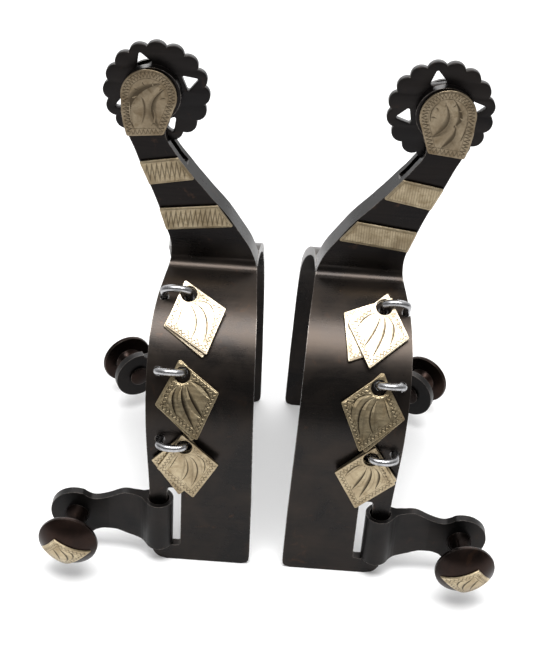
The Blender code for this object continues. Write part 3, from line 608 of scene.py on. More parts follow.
def rowel(name, turn):
    holes = [circle(ROWEL_BORE_R, 40)]
    for k in range(ROWEL_CUTS):
        tip = turn + 360.0 / ROWEL_CUTS * k
        corners = [(ROWEL_CUT_TIP_R, tip), (ROWEL_CUT_BASE_R, tip + ROWEL_CUT_BASE_DEG),
                   (ROWEL_CUT_BASE_R, tip - ROWEL_CUT_BASE_DEG)]
        corners = [(radius * math.cos(math.radians(angle)), radius * math.sin(math.radians(angle)))
                   for radius, angle in corners]
        holes.append(rounded(corners, ROWEL_CUT_ROUND, 6))
    place = side_frame(0) @ Matrix.Translation((ROWEL_C[0] * MM, ROWEL_C[1] * MM, 0))
    return plate(name, rowel_outline(turn), ROWEL_T, place, holes, ROWEL_EDGE)


def rowel_pin(name):
    """Pin along y with its domed head on the shank's back face."""
    half = SHANK_T / 2
    t = (ROWEL_C[1] - TAPER_Z[0]) / (TAPER_Z[1] - TAPER_Z[0])
    seat = half - BACK_TAPER * t + 0.5            # clear of the leaning back face
    profile = [(0.0, seat + 1.0), (1.5, seat + 0.85), (PIN_HEAD_R - 0.3, seat + 0.4),
               (PIN_HEAD_R, seat), (PIN_R, seat), (PIN_R, -half + 0.1), (0.0, -half + 0.1)]
    place = axes_frame((ROWEL_C[0], 0, ROWEL_C[1]), (1, 0, 0), (0, 0, -1), (0, 1, 0))
    return turned(name, profile, 48, place)


def staple(name, angle, x_out, x_in):
    radians = math.radians(angle)
    outward = Vector((0, -math.cos(radians), math.sin(radians)))
    foot = Vector((0, *bend_point(angle, BAND_R)))
    middle, half = (x_out + x_in) / 2, (x_in - x_out) / 2
    path = [(x_out, -BAND_T + 0.3), (x_out, 0.0)]     # (x, height above the band)
    for k in range(ARCH_STEPS + 1):
        turn = math.pi * (1 - k / ARCH_STEPS)
        path.append((middle + half * math.cos(turn), STAPLE_LEG + STAPLE_ARCH * math.sin(turn)))
    path += [(x_in, 0.0), (x_in, -BAND_T + 0.3)]
    points = [foot + outward * height + Vector((x, 0, 0)) for x, height in path]
    return wire(name, points, WIRE_R)


def facing(which):
    """Direction along y that a hanger's button faces."""
    return -1 if which == "outer" else 1


def hanger_plan(which, bend_at, elbow):
    """Hanger seen from above: a loop round the bar, then two layers pressed
    together, with the end turned by the elbow."""
    away = -facing(which)
    near, far = STRAP_BACK - STRAP_T, STRAP_BACK + STRAP_T    # faces of the flat strap
    # drawn for a strap on the +y side of its loop
    line = [(-STRAP_JOIN, far), (-5.0, far + 0.35)]
    line += arc(0, 0, LOOP_R_IN + STRAP_T, 112.0, -148.0, 81)
    line += [(-4.85, -1.45), (-5.7, -0.85), (-6.6, near - 0.15), (-STRAP_JOIN, near)]
    miter = STRAP_T * math.tan(math.radians(HANGER_BEND) / 2)
    end = HANGER_REACH[which] + HANGER_END_R + 1
    outline = [(x, away * y) for x, y in line]
    outline.append((-bend_at + miter, away * near))
    outline += [tuple((elbow @ Vector((-end, away * y, 0)))[:2]) for y in (near, far)]
    outline.append((-bend_at - miter, away * far))
    return outline


def hanger_side(reach):
    """Hanger seen along y: a waisted strap with a round end."""
    stretch = (reach - HANGER_FIXED) / (HANGER_REACH["outer"] - HANGER_FIXED)

    def edge(line):
        return smooth_line([(-(out if out < HANGER_FIXED
                               else HANGER_FIXED + (out - HANGER_FIXED) * stretch), z)
                            for out, z in line], 8)
    end = arc(-reach, BUTTON_Z, HANGER_END_R, 76.0, 300.0, 64)
    return edge(HANGER_TOP) + end + edge(HANGER_BOTTOM)


def hanger(name, which, swing, shift):
    """Folded strap and the frame of its bent end: the plan met with the side
    outline, bored for the button, then swung about the bar."""
    reach = HANGER_REACH[which]
    bend_at = min(HANGER_BEND_AT, reach - HANGER_END_R)
    strap_y = -facing(which) * STRAP_BACK
    elbow = (Matrix.Translation((-bend_at, strap_y, 0))
             @ Matrix.Rotation(math.radians(HANGER_BEND) * facing(which), 4, "Z")
             @ Matrix.Translation((bend_at, -strap_y, 0)))
    outline = hanger_plan(which, bend_at, elbow)
    elbow.translation *= MM
    ob = plate(name, outline, 60.0, Matrix.Translation((0, 0, HANGER_Z * MM)),
               [circle(LOOP_R_IN, 96)])
    ob = combine(ob, plate("side_view", hanger_side(reach), 30.0, side_frame(0)), "INTERSECT")
    bore = rod("bore", BUTTON_BORE_R, (-reach, -20, BUTTON_Z), (-reach, 20, BUTTON_Z), 16)
    bore.matrix_world = elbow @ bore.matrix_world
    ob = combine(ob, bore, "DIFFERENCE")
    pivot = Vector((BAR_X + shift, facing(which) * BAND_MID_R, 0))
    turn = Matrix.Rotation(math.radians(swing) * -facing(which), 4, "Z")
    place = Matrix.Translation(pivot * MM) @ turn
    ob.matrix_world = place
    return baked(ob), place @ elbow


def button_frame(which, strap_end):
    """Frame of a button: own z is its axis, pointing away from the hanger."""
    out = facing(which)
    return strap_end @ axes_frame(
        (-HANGER_REACH[which], out * (STRAP_T - STRAP_BACK), BUTTON_Z),
        (-out, 0, 0), (0, 0, 1), (0, out, 0))


def dome(radius, which):
    """Height of the button's domed face at a radius."""
    sphere = (BUTTON_R ** 2 + BUTTON_DOME_H ** 2) / (2 * BUTTON_DOME_H)
    return (BUTTON_RIM_H[which] + math.sqrt(sphere ** 2 - radius ** 2)
            - (sphere - BUTTON_DOME_H))


def button(name, place, which):
    rim = BUTTON_RIM_H[which]
    shorten = rim / BUTTON_RIM_H["outer"]
    neck = [(radius, height if height < 1 else height * shorten)
            for radius, height in BUTTON_NECK]
    crown_radii = [BUTTON_R * math.cos(math.radians(angle)) for angle in range(12, 90, 6)]
    profile = (BUTTON_TAIL + neck + [(radius, rim + height) for radius, height in BUTTON_RIM]
               + [(radius, dome(radius, which)) for radius in crown_radii]
               + [(0.0, dome(0.0, which))])
    return turned(name, profile[::-1], BUTTON_SEGMENTS, place)


# ------------------------------------------------------------------- materials
class Nodes:
    """Node tree of a material or world. A value may be a number, a tuple or a socket."""
    def __init__(self, owner):
        self.owner = owner
        owner.use_nodes = True
        self.tree = owner.node_tree

    def feed(self, socket, value):
        if isinstance(value, bpy.types.NodeSocket):
            self.tree.links.new(value, socket)
        elif socket.type == "RGBA":
            socket.default_value = (*value, 1.0)
        else:
            socket.default_value = value

    def add(self, kind, **inputs):
        """New node; inputs go by socket name, with _ for a space."""
        node = self.tree.nodes.new(kind)
        for key, value in inputs.items():
            self.feed(node.inputs[key.replace("_", " ")], value)
        return node

    def coords(self, scale=(1, 1, 1), rotation=(0, 0, 0)):
        source = self.add("ShaderNodeTexCoord").outputs["Object"]
        return self.add("ShaderNodeMapping", Vector=source, Scale=scale,
                        Rotation=rotation).outputs["Vector"]

    def noise(self, vector, scale, detail, roughness, distortion=0.0):
        return self.add("ShaderNodeTexNoise", Vector=vector, Scale=scale, Detail=detail,
                        Roughness=roughness, Distortion=distortion).outputs["Fac"]

    def ramp(self, factor, stops):
        node = self.add("ShaderNodeValToRGB", Fac=factor)
        elements = node.color_ramp.elements
        while len(elements) < len(stops):
            elements.new(0.5)
        for element, (position, color) in zip(elements, stops):
            element.position = position
            element.color = (*color, 1.0)
        return node.outputs["Color"]

    def remap(self, value, source, target, smooth=False):
        """Map the source range to the target range, clamped."""
        node = self.add("ShaderNodeMapRange", Value=value, From_Min=source[0],
                        From_Max=source[1], To_Min=target[0], To_Max=target[1])
        if smooth:
            node.interpolation_type = "SMOOTHSTEP"
        return node.outputs["Result"]

    def mix(self, factor, first, second):
        """Blend two colours."""
        node = self.add("ShaderNodeMix")
        node.data_type = "RGBA"
        for index, value in ((0, factor), (6, first), (7, second)):
            self.feed(node.inputs[index], value)
        return node.outputs[2]

    def maths(self, operation, first, second):
        node = self.add("ShaderNodeMath")
        node.operation = operation
        self.feed(node.inputs[0], first)
        self.feed(node.inputs[1], second)
        return node.outputs[0]

    def bump(self, height, strength, distance, normal=None):
        node = self.add("ShaderNodeBump", Strength=strength, Distance=distance, Height=height)
        if normal is not None:
            self.feed(node.inputs["Normal"], normal)
        return node.outputs["Normal"]

    def worn_and_highlit_edge(self, radius):
        """Near 1 on edges, for worn bare metal and a painted edge highlight: how far the rounded
        normal leaves the true one.
        """
        bevel = self.add("ShaderNodeBevel", Radius=radius)
        bevel.samples = 4
        geometry = self.add("ShaderNodeNewGeometry")
        dot = self.add("ShaderNodeVectorMath")
        dot.operation = "DOT_PRODUCT"
        self.feed(dot.inputs[0], bevel.outputs["Normal"])
        self.feed(dot.inputs[1], geometry.outputs["Normal"])
        return self.remap(dot.outputs["Value"], source=(0.80, 0.985), target=(1.0, 0.0))

    def surface(self, color, metallic, roughness, normal=None):
        """Feed the Principled shader and hand back the material."""
        inputs = self.tree.nodes["Principled BSDF"].inputs
        self.feed(inputs["Base Color"], color)
        self.feed(inputs["Metallic"], metallic)
        self.feed(inputs["Roughness"], roughness)
        if normal is not None:
            self.feed(inputs["Normal"], normal)
        return self.owner


def scaled(color, *factors):
    """Colour times one factor, or times one factor per channel."""
    if len(factors) == 1:
        factors *= 3
    return tuple(channel * factor for channel, factor in zip(color, factors))


# brown tint that also paints a highlight round the top of the heel band
CROWN_TINT_AND_HIGHLIGHT = (0.043, 0.0335, 0.0268)
# painted shade for the shank above the band
SHANK_PAINTED_SHADE = (0.0048, 0.0046, 0.0052)
RUST = (0.085, 0.044, 0.026)
# bare metal on worn edges, also a painted edge highlight
BARE_EDGE_AND_HIGHLIGHT = (0.20, 0.178, 0.16)
# tarnish in the engraved cuts, with painted shade on their steep walls
CUT_TARNISH_AND_SHADE = (0.045, 0.034, 0.022)
BLACK, WHITE = (0, 0, 0), (1, 1, 1)


def crown_highlight_and_shank_shade(nodes, tone, cloud, plain, crown_tint_and_highlight):
    """Browner and lighter round the top of the heel band, a brown tint and a painted highlight;
    darker up the shank as painted shade (heights in metres).
    """
    height = nodes.add("ShaderNodeSeparateXYZ", Vector=plain).outputs["Z"]
    # painted highlight with a brown tint, rising with height round the crown
    high = nodes.maths("MULTIPLY",
                       nodes.remap(height, source=(0.045, 0.080), target=(0.0, crown_tint_and_highlight)),
                       nodes.remap(cloud, source=(0.35, 0.60), target=(0.35, 1.0)))
    tone = nodes.mix(high, tone, CROWN_TINT_AND_HIGHLIGHT)
    # painted shade: the shank above the band is darkened to damp its reflections
    shank_painted_shade = nodes.remap(height, source=(0.088, 0.098), target=(0.0, 0.85))
    return nodes.mix(shank_painted_shade, tone, SHANK_PAINTED_SHADE)


def steel(name, dark, brown, roughness, brush, stain, crown_tint_and_highlight=0.0):
    """Clouded steel: brush is the depth of its streaks, stain the amount of rust, and the crown
    amount sets the brown tint and painted highlight round the top of the heel band and the painted
    shade up the shank."""
    nodes = Nodes(bpy.data.materials.new(name))
    plain = nodes.coords()
    along = nodes.coords(scale=(60, 1200, 1200))
    cloud = nodes.noise(plain, scale=55.0, detail=5.0, roughness=0.6, distortion=0.4)
    fine = nodes.noise(plain, scale=900.0, detail=3.0, roughness=0.6)
    streak = nodes.noise(along, scale=1.0, detail=2.0, roughness=0.5)
    pits = nodes.noise(plain, scale=2600.0, detail=2.0, roughness=0.5)
    tone = nodes.mix(nodes.remap(cloud, source=(0.38, 0.68), target=(0.0, 1.0)), dark, brown)
    if crown_tint_and_highlight:
        tone = crown_highlight_and_shank_shade(nodes, tone, cloud, plain, crown_tint_and_highlight)
    blotch = nodes.noise(plain, scale=150.0, detail=6.0, roughness=0.7, distortion=0.8)
    rust = nodes.ramp(blotch, [(0.0, BLACK), (0.60, BLACK), (0.72, WHITE), (1.0, WHITE)])
    tone = nodes.mix(nodes.maths("MULTIPLY", rust, stain), tone, RUST)
    tone = nodes.mix(nodes.remap(streak, source=(0.35, 0.75), target=(0.0, 0.07)),
                     tone, scaled(brown, 1.6))
    # edges lightened: worn bare metal and a painted edge highlight
    worn_and_highlit = nodes.maths("MULTIPLY", nodes.worn_and_highlit_edge(radius=0.00042),
                       nodes.remap(fine, source=(0.35, 0.6), target=(0.25, 1.0)))
    tone = nodes.mix(nodes.maths("MULTIPLY", worn_and_highlit, 0.85), tone, BARE_EDGE_AND_HIGHLIGHT)
    gloss = nodes.maths("ADD",
                        nodes.remap(cloud, source=(0.3, 0.7),
                                    target=(roughness - 0.05, roughness + 0.09)),
                        nodes.remap(streak, source=(0.3, 0.7), target=(-0.015, 0.02)))
    normal = nodes.bump(streak, strength=0.16 * brush, distance=0.00006)
    normal = nodes.bump(pits, strength=0.10, distance=0.00004, normal=normal)
    normal = nodes.bump(cloud, strength=0.10, distance=0.0004, normal=normal)
    return nodes.surface(tone, metallic=0.92, roughness=gloss, normal=normal)


def silver(name, light, cut_tarnish_and_shade):
    """Tarnished silver, darkened in the engraved cuts by tarnish and painted shade, in the amount
    given.
    """
    nodes = Nodes(bpy.data.materials.new(name))
    plain = nodes.coords()
    cloud = nodes.noise(plain, scale=140.0, detail=5.0, roughness=0.6, distortion=0.6)
    fine = nodes.noise(plain, scale=1500.0, detail=3.0, roughness=0.6)
    slanted = nodes.coords(scale=(300, 2600, 800), rotation=(0.3, 0.5, 0.6))
    scratch = nodes.noise(slanted, scale=1.0, detail=2.0, roughness=0.5)
    cut = nodes.add("ShaderNodeAttribute")
    cut.attribute_name = "cut"
    tone = nodes.mix(nodes.remap(cloud, source=(0.38, 0.66), target=(0.0, 1.0)),
                     light, scaled(light, 0.62, 0.58, 0.54))
    blot = nodes.noise(plain, scale=320.0, detail=6.0, roughness=0.65, distortion=1.2)
    tone = nodes.mix(nodes.remap(blot, source=(0.5, 0.68), target=(0.0, 0.75)),
                     tone, scaled(light, 0.50, 0.45, 0.38))
    tone = nodes.mix(nodes.remap(fine, source=(0.45, 0.75), target=(0.0, 0.35)),
                     tone, scaled(light, 0.55))
    # cuts darkened: tarnish in the cuts and painted shade on their steep walls
    tone = nodes.mix(nodes.maths("MULTIPLY", cut.outputs["Fac"], cut_tarnish_and_shade), tone, CUT_TARNISH_AND_SHADE)
    gloss = nodes.maths("ADD", nodes.remap(cloud, source=(0.3, 0.7), target=(0.27, 0.42)),
                        nodes.remap(scratch, source=(0.3, 0.7), target=(-0.05, 0.07)))
    normal = nodes.bump(scratch, strength=0.12, distance=0.00003)
    normal = nodes.bump(fine, strength=0.10, distance=0.00004, normal=normal)
    return nodes.surface(tone, metallic=1.0, roughness=gloss, normal=normal)


def polished(name, tint, roughness):
    nodes = Nodes(bpy.data.materials.new(name))
    plain = nodes.coords()
    cloud = nodes.noise(plain, scale=500.0, detail=3.0, roughness=0.6, distortion=0.4)
    fine = nodes.noise(plain, scale=2500.0, detail=3.0, roughness=0.6)
    tone = nodes.mix(nodes.remap(cloud, source=(0.35, 0.75), target=(0.0, 1.0)),
                     tint, scaled(tint, 0.55))
    gloss = nodes.remap(cloud, source=(0.3, 0.7), target=(roughness - 0.04, roughness + 0.12))
    return nodes.surface(tone, metallic=1.0, roughness=gloss,
                         normal=nodes.bump(fine, strength=0.08, distance=0.00003))


STEEL = steel("browned steel, brushed", dark=(0.0166, 0.0157, 0.0156),
              brown=(0.0300, 0.0242, 0.0210), roughness=0.28, brush=0.18, stain=0.35, crown_tint_and_highlight=0.8)
STEEL_ROWEL = steel("browned steel, rowel", dark=(0.0105, 0.0098, 0.0100),
                    brown=(0.017, 0.0145, 0.0135), roughness=0.34, brush=0.35, stain=0.15)
STEEL_HANGER = steel("browned steel, hanger", dark=(0.0150, 0.0146, 0.0148),
                     brown=(0.026, 0.0225, 0.0210), roughness=0.38, brush=0.35, stain=0.15)
BUTTON_RED = steel("red-brown steel, button", dark=(0.013, 0.0098, 0.0088),
                   brown=(0.031, 0.0175, 0.0135), roughness=0.28, brush=0.4, stain=0.3)
SILVER_HEAD = silver("german silver, darkened", light=(0.240, 0.194, 0.133), cut_tarnish_and_shade=0.92)
SILVER_BAR = silver("german silver, bars", light=(0.330, 0.273, 0.182), cut_tarnish_and_shade=0.92)
SILVER_PATCH = silver("german silver, engraved", light=(0.53, 0.445, 0.30), cut_tarnish_and_shade=0.95)
SILVER_CHARM = {
    "top": silver("german silver, top plates", light=(0.55, 0.48, 0.365), cut_tarnish_and_shade=1.35),
    "middle": silver("german silver, middle plates", light=(0.44, 0.362, 0.232), cut_tarnish_and_shade=1.35),
    "bottom": silver("german silver, bottom plates", light=(0.475, 0.395, 0.265), cut_tarnish_and_shade=1.3)}
WIRE = polished("polished steel wire", tint=(0.44, 0.44, 0.45), roughness=0.23)


# ------------------------------------------------------------------- engraving
def offset_from(x, y, start, step, length):
    """Nearest place on a segment (0 to 1) and the offset from it, for grids x and y."""
    t = np.clip(((x - start[0]) * step[0] + (y - start[1]) * step[1]) / length ** 2, 0, 1)
    return t, x - start[0] - t * step[0], y - start[1] - t * step[1]


class Face:
    """Height field of an engraved face on a square grid in the plate's own plane (mm).

    inset is the distance in from the outline, along the distance round it, clear the distance from
    outline and holes, and cut how dark each point is cut, as tarnish and painted shade.
    """
    BORDER = 0.16             # the mesh stops this far inside outline and holes

    def __init__(self, outline, pitch, holes=()):
        points = np.array(outline)
        self.pitch = pitch
        self.low = points.min(0) - pitch
        size = points.max(0) + pitch - self.low
        self.nx, self.ny = np.ceil(size / pitch).astype(int) + 1
        self.x, self.y = np.meshgrid(self.low[0] + pitch * np.arange(self.nx),
                                     self.low[1] + pitch * np.arange(self.ny), indexing="ij")
        loop = np.array(list(outline) + [outline[0]])
        self.total = float(np.hypot(*np.diff(loop, axis=0).T).sum())
        self.measure(loop)
        self.clear = self.inset.copy()
        for x, y, radius in holes:
            self.clear = np.minimum(self.clear, np.hypot(self.x - x, self.y - y) - radius)
        self.height = np.zeros(self.x.shape)
        self.cut = np.zeros(self.x.shape)

    def measure(self, loop):
        """Work out inset (positive inside) and along for a closed loop."""
        best = np.full(self.x.shape, 1e9)
        self.along = np.zeros(self.x.shape)
        inside = np.zeros(self.x.shape, bool)
        run = 0.0
        for start, end in zip(loop, loop[1:]):
            step = end - start
            length = math.hypot(*step)
            if length < 1e-9:
                continue
            t, off_x, off_y = offset_from(self.x, self.y, start, step, length)
            distance = np.hypot(off_x, off_y)
            near = distance < best
            best = np.where(near, distance, best)
            self.along = np.where(near, run + t * length, self.along)
            if step[1]:                           # count crossings to tell inside from outside
                spans = (start[1] > self.y) != (end[1] > self.y)
                crossing = step[0] * (self.y - start[1]) / step[1] + start[0]
                inside ^= spans & (self.x < crossing)
            run += length
        self.inset = np.where(inside, best, -best)

    def raise_within(self, rim, lift):
        """Raise the face to its lift inside a sunken rim."""
        t = np.clip((self.clear - rim) / 0.30, 0, 1)
        self.height = -0.06 + (lift + 0.06) * t * t * (3 - 2 * t)

    def carve(self, amount, depth):
        amount = np.clip(amount, 0, 1)
        self.height -= depth * amount * (self.height > 0)
        self.cut = np.maximum(self.cut, amount)

    def zigzag(self, centre, swing, pitch, width, depth):
        """Wriggle cut that runs along the outline."""
        count = max(round(self.total / pitch), 4)
        phase = self.along * count / self.total
        wave = 4 * np.abs((phase % 1.0) - 0.5) - 1
        off = np.abs(self.inset - (centre + swing * wave))
        off = off / math.hypot(1, 2 * swing / pitch * 1.2)
        self.carve(1 - off / width, depth)

    def line(self, at, width, depth):
        """Cut that follows the outline at a distance."""
        self.carve(1 - np.abs(self.inset - at) / width, depth)

    def stroke(self, start, through, end, width, lean=0.35, depth=0.11):
        """Graver cut: swells in the middle, steep on one side; it is darkened as tarnish, more on
        the steep side as painted shade, and less on the other wall, which is painted bright."""
        start, through, end = (np.array(point, float) for point in (start, through, end))
        control = 2 * through - (start + end) / 2
        curve = np.array([(1 - t) ** 2 * start + 2 * t * (1 - t) * control + t * t * end
                          for t in np.linspace(0, 1, 33)])
        margin = width + 0.3
        low, high = curve.min(0) - margin, curve.max(0) + margin
        i0, j0 = np.maximum(((low - self.low) / self.pitch).astype(int), 0)
        i1, j1 = ((high - self.low) / self.pitch).astype(int) + 2
        window = np.s_[i0:i1, j0:j1]
        x, y = self.x[window], self.y[window]
        best = np.full(x.shape, 1e9)
        side = np.zeros(x.shape)                  # signed distance across the cut
        progress = np.zeros(x.shape)              # 0 to 1 along the cut
        for k, (here, there) in enumerate(zip(curve, curve[1:])):
            step = there - here
            length = max(float(np.hypot(*step)), 1e-9)
            t, off_x, off_y = offset_from(x, y, here, step, length)
            distance = np.hypot(off_x, off_y)
            near = distance < best
            best = np.where(near, distance, best)
            side = np.where(near, (step[0] * off_y - step[1] * off_x) / length, side)
            progress = np.where(near, (k + t) / 32, progress)
        half = width * np.sin(np.pi * np.clip(progress, 0, 1) ** 1.35) ** 0.8 + 0.02
        across = side / half
        amount = np.where(across > lean, (1 - across) / (1 - lean), (1 + across) / (1 + lean))
        amount = np.clip(amount, 0, 1) * (best <= half)
        # steep side of the cut darkened more as painted shade, the other wall less as a painted
        # bright wall; tarnish in both
        dark = np.where(across > lean * 0.2, 1.25 * amount ** 0.6, 0.45 * amount)
        height = self.height[window]
        height -= depth * amount * (height > 0)
        cut = self.cut[window]
        np.maximum(cut, np.clip(dark, 0, 1), out=cut)

    def build(self, name, place):
        inside = self.clear > self.BORDER
        quad = inside[:-1, :-1] & inside[1:, :-1] & inside[1:, 1:] & inside[:-1, 1:]
        used = np.zeros(inside.shape, bool)
        for corner in (used[:-1, :-1], used[1:, :-1], used[1:, 1:], used[:-1, 1:]):
            corner |= quad
        index = -np.ones(inside.shape, int)
        index[used] = np.arange(used.sum())
        verts = np.stack([self.x[used], self.y[used], self.height[used]], 1) * MM
        i, j = np.nonzero(quad)
        faces = np.stack([index[i, j], index[i + 1, j], index[i + 1, j + 1], index[i, j + 1]], 1)
        return engraved_mesh(name, verts.tolist(), faces.tolist(), self.cut[used], place)


def engraved_mesh(name, verts, faces, cuts, place):
    """Object with the depth of its cuts stored for the tarnish and painted shade that the silver
    lays in its cuts.
    """
    mesh = bpy.data.meshes.new(name)
    mesh.from_pydata(verts, [], faces)
    attribute = mesh.attributes.new("cut", "FLOAT", "POINT")
    attribute.data.foreach_set("value", np.array(cuts, dtype=np.float32))
    mesh.transform(place)
    return new_object(name, mesh)


# ---------------------------------------------------------------- silver pieces
def charm_frame(angle, x_leg, lift, tilt, hang):
    """Frame of a plate: own x to the side, own -y along the hanging diagonal,
    own z out of the decorated face, origin in the middle of its hole."""
    bend, lean, turn = math.radians(angle), math.radians(tilt), math.radians(hang)
    leg = Vector((0, -math.cos(bend), math.sin(bend)))
    along = Vector((0, math.sin(bend), math.cos(bend)))
    hole = Vector((x_leg, *bend_point(angle, BAND_R))) + leg * lift - along * CHARM_DROP
    normal = Vector((0, -math.cos(lean), math.sin(lean)))
    up = Vector((0, math.sin(lean), math.cos(lean)))
    across = Vector((1, 0, 0))
    return axes_frame(hole, across * math.cos(turn) + up * math.sin(turn),
                      up * math.cos(turn) - across * math.sin(turn), normal)


def cut_leaves(face, mirror, stretch, widen):
    """Leaf cuts that fan out from a plate's hole, broad at their far ends, with
    nicks between them and ticks round the hole's lower side."""
    for *points, width in LEAVES:
        points = [(mirror * x * stretch, y * stretch if y < LEAF_FIXED_Y else y)
                  for x, y in points]
        face.stroke(*points, width * widen, lean=0.35 * mirror)
    for x, y, length in NICKS:
        face.stroke((mirror * x, y), (mirror * (x + 0.16 * length), y - 0.5 * length),
                    (mirror * (x + 0.1 * length), y - length), width=0.16)
    for k in range(7):
        angle = math.radians(200 + 23.3 * k)
        points = [(radius * math.cos(angle), radius * math.sin(angle))
                  for radius in (2.65, 3.0, 3.5)]
        face.stroke(*points, width=0.16)


def hanging_plate(side, row, layer):
    """One of the two diamond plates that hang from a staple's inner leg."""
    angle, _, x_in = SIDES[side]["staples"][row]
    tilt, hang_front, hang_back = SIDES[side]["charms"][row]
    front = layer == "front"
    place = charm_frame(angle, x_in, CHARM_LIFT[row][layer], tilt,
                        hang_front if front else hang_back)
    node = f"{side}_charm_{row}_{layer}"
    top = CHARM_HOLE_AT
    middle = top - CHARM_LONG / 2
    diamond = [(0, top), (-CHARM_WIDE / 2, middle), (0, top - CHARM_LONG),
               (CHARM_WIDE / 2, middle)]
    silver_row = SILVER_CHARM[row]
    ob = plate(node + "_plate", rounded(diamond, CHARM_ROUND, 6), CHARM_T, place,
               [circle(CHARM_CLEAR_R, 48)], PLATE_EDGE)
    mount(ob, side, silver_row, 50.0, node, node)
    face = Face(rounded(diamond, 0.25, 2), pitch=0.14 if front else 0.2,
                holes=[(0, 0, CHARM_CLEAR_R)])
    face.raise_within(rim=0.34, lift=0.07)
    face.zigzag(centre=1.2, swing=0.46, pitch=1.3, width=0.23, depth=0.09)
    if front:
        face.line(at=2.0, width=0.08, depth=0.04)
        leaves = dict(CHARM_LEAVES[row])
        leaves["mirror"] *= -SIDES[side]["sign"]
        cut_leaves(face, **leaves)
    ob = face.build(node + "_engraving", place @ Matrix.Translation((0, 0, CHARM_T / 2 * MM)))
    mount(ob, side, silver_row, 60.0, node)


def mount_overlay(node, side, outline, thickness, edge, material, face):
    """Plate in front of the shank's decorated side, with its engraved face on it."""
    behind = SHANK_T / 2 + GAP
    ob = plate(node + "_plate", outline, thickness, side_frame(-(behind + thickness / 2)),
               edge=edge)
    mount(ob, side, material, 50.0, side + "_frame", node)
    ob = face.build(node + "_engraving", side_frame(-(behind + thickness)))
    mount(ob, side, material, 60.0, side + "_frame")


def head_overlay_outline():
    """Arc over the shank head, closed by a tail with its two corners eased."""
    outline = arc(*HEAD_OVERLAY_C, HEAD_OVERLAY_R, -25.0, 190.0, 60) + HEAD_TAIL[:2]
    path = HEAD_TAIL + [HEAD_TAIL_AIM]
    for before, corner, after in zip(path[1:], path[2:], path[3:]):
        corner = Vector(corner)
        back = (Vector(before) - corner).normalized() * HEAD_TAIL_EASE
        ahead = (Vector(after) - corner).normalized() * HEAD_TAIL_EASE
        for t in (0.0, 0.25, 0.5, 0.75, 1.0):
            point = corner + back * (1 - t) ** 2 + ahead * t ** 2
            outline.append((point.x, point.y))
    return outline


def head_overlay(side):
    outline = head_overlay_outline()
    face = Face(outline, pitch=0.13)
    face.raise_within(rim=0.36, lift=0.12)
    face.zigzag(centre=1.35, swing=0.82, pitch=1.22, width=0.23, depth=0.12)
    face.line(at=2.5, width=0.10, depth=0.08)
    for start, through, end, width, lean, depth in HEAD_CUTS[side]:
        face.stroke(start, through, end, width, lean, depth)
    centre_x, centre_z = HEAD_OVERLAY_C
    for k in range(6):                            # short ticks in a ring about the centre
        angle = math.radians(-10 + 38 * k)
        ends = ((3.4, angle), (4.1, angle + 0.12), (4.9, angle + 0.12))
        points = [(centre_x + radius * math.cos(turn), centre_z + radius * math.sin(turn))
                  for radius, turn in ends]
        face.stroke(*points, width=0.2)
    mount_overlay(side + "_head_overlay", side, outline, OVERLAY_T, PLATE_EDGE,
                  SILVER_HEAD, face)


def cut_bar(face, side, corners):
    """Left: one tall wriggle along the bar. Right: fine upright hatching inside a line."""
    top_out, top_in, low_in, low_out = (np.array(corner) for corner in corners)
    along = (top_in + low_in) / 2 - (top_out + low_out) / 2
    along /= np.hypot(*along)
    from_x, from_z = face.x - top_out[0], face.y - top_out[1]
    run = from_x * along[0] + from_z * along[1]
    drop = from_x * along[1] + from_z * -along[0]
    run = run + 0.12 * drop                       # the cuts lean a little
    inside = np.clip((face.inset - 0.7) / 0.15, 0, 1)
    if side == "left":
        pitch, tall = 1.5, 5.0
        level = 1.35 + np.abs((run / pitch) % 1.0 - 0.5) * 2 * tall
        off = np.abs(drop - level) / math.hypot(1.0, 2 * tall / pitch)
        face.carve((1 - off / 0.25) * inside, depth=0.12)
        face.line(at=0.42, width=0.08, depth=0.05)
    else:
        pitch = 0.8
        off = np.abs((run / pitch) % 1.0 - 0.5) * pitch
        face.carve((0.62 - off / 0.22) * inside, depth=0.06)
        face.line(at=0.72, width=0.10, depth=0.08)


def shank_bar(side, which):
    rise = SIDES[side]["bar_rise"]
    corners = [(x + slide * rise, z + rise)
               for (x, z), slide in zip(SHANK_BARS[which], BAR_SLIDE)]
    outline = rounded(corners[::-1], BAR_ROUND, 6)
    face = Face(outline, pitch=0.12)
    face.raise_within(rim=0.30, lift=0.12)
    cut_bar(face, side, corners)
    mount_overlay(f"{side}_shank_bar_{which}", side, outline, BAR_OVERLAY_T, BAR_EDGE,
                  SILVER_BAR, face)


def patch_point(s, t):
    """A point of the button's diamond, s and t running 0 to 1 along its sides."""
    bottom, inner, top, outer = [Vector(corner) for corner in PATCH_CORNERS]
    return (bottom * ((1 - s) * (1 - t)) + inner * (s * (1 - t)) + top * (s * t)
            + outer * ((1 - s) * t))


def patch_face():
    """The button's diamond laid flat, with a wriggle border and leaf cuts."""
    half = PATCH_FLAT / 2
    face = Face([(-half, -half), (half, -half), (half, half), (-half, half)], pitch=0.14)
    face.height += PATCH_FIELD
    face.zigzag(centre=1.05, swing=0.4, pitch=1.1, width=0.22, depth=0.09)
    face.line(at=1.85, width=0.09, depth=0.05)
    for start, through, end, width in PATCH_CUTS:
        face.stroke(start, through, end, width)
    return face


def grid_index(position, low, pitch, count):
    return min(max(int(round((position - low) / pitch)), 0), count - 1)


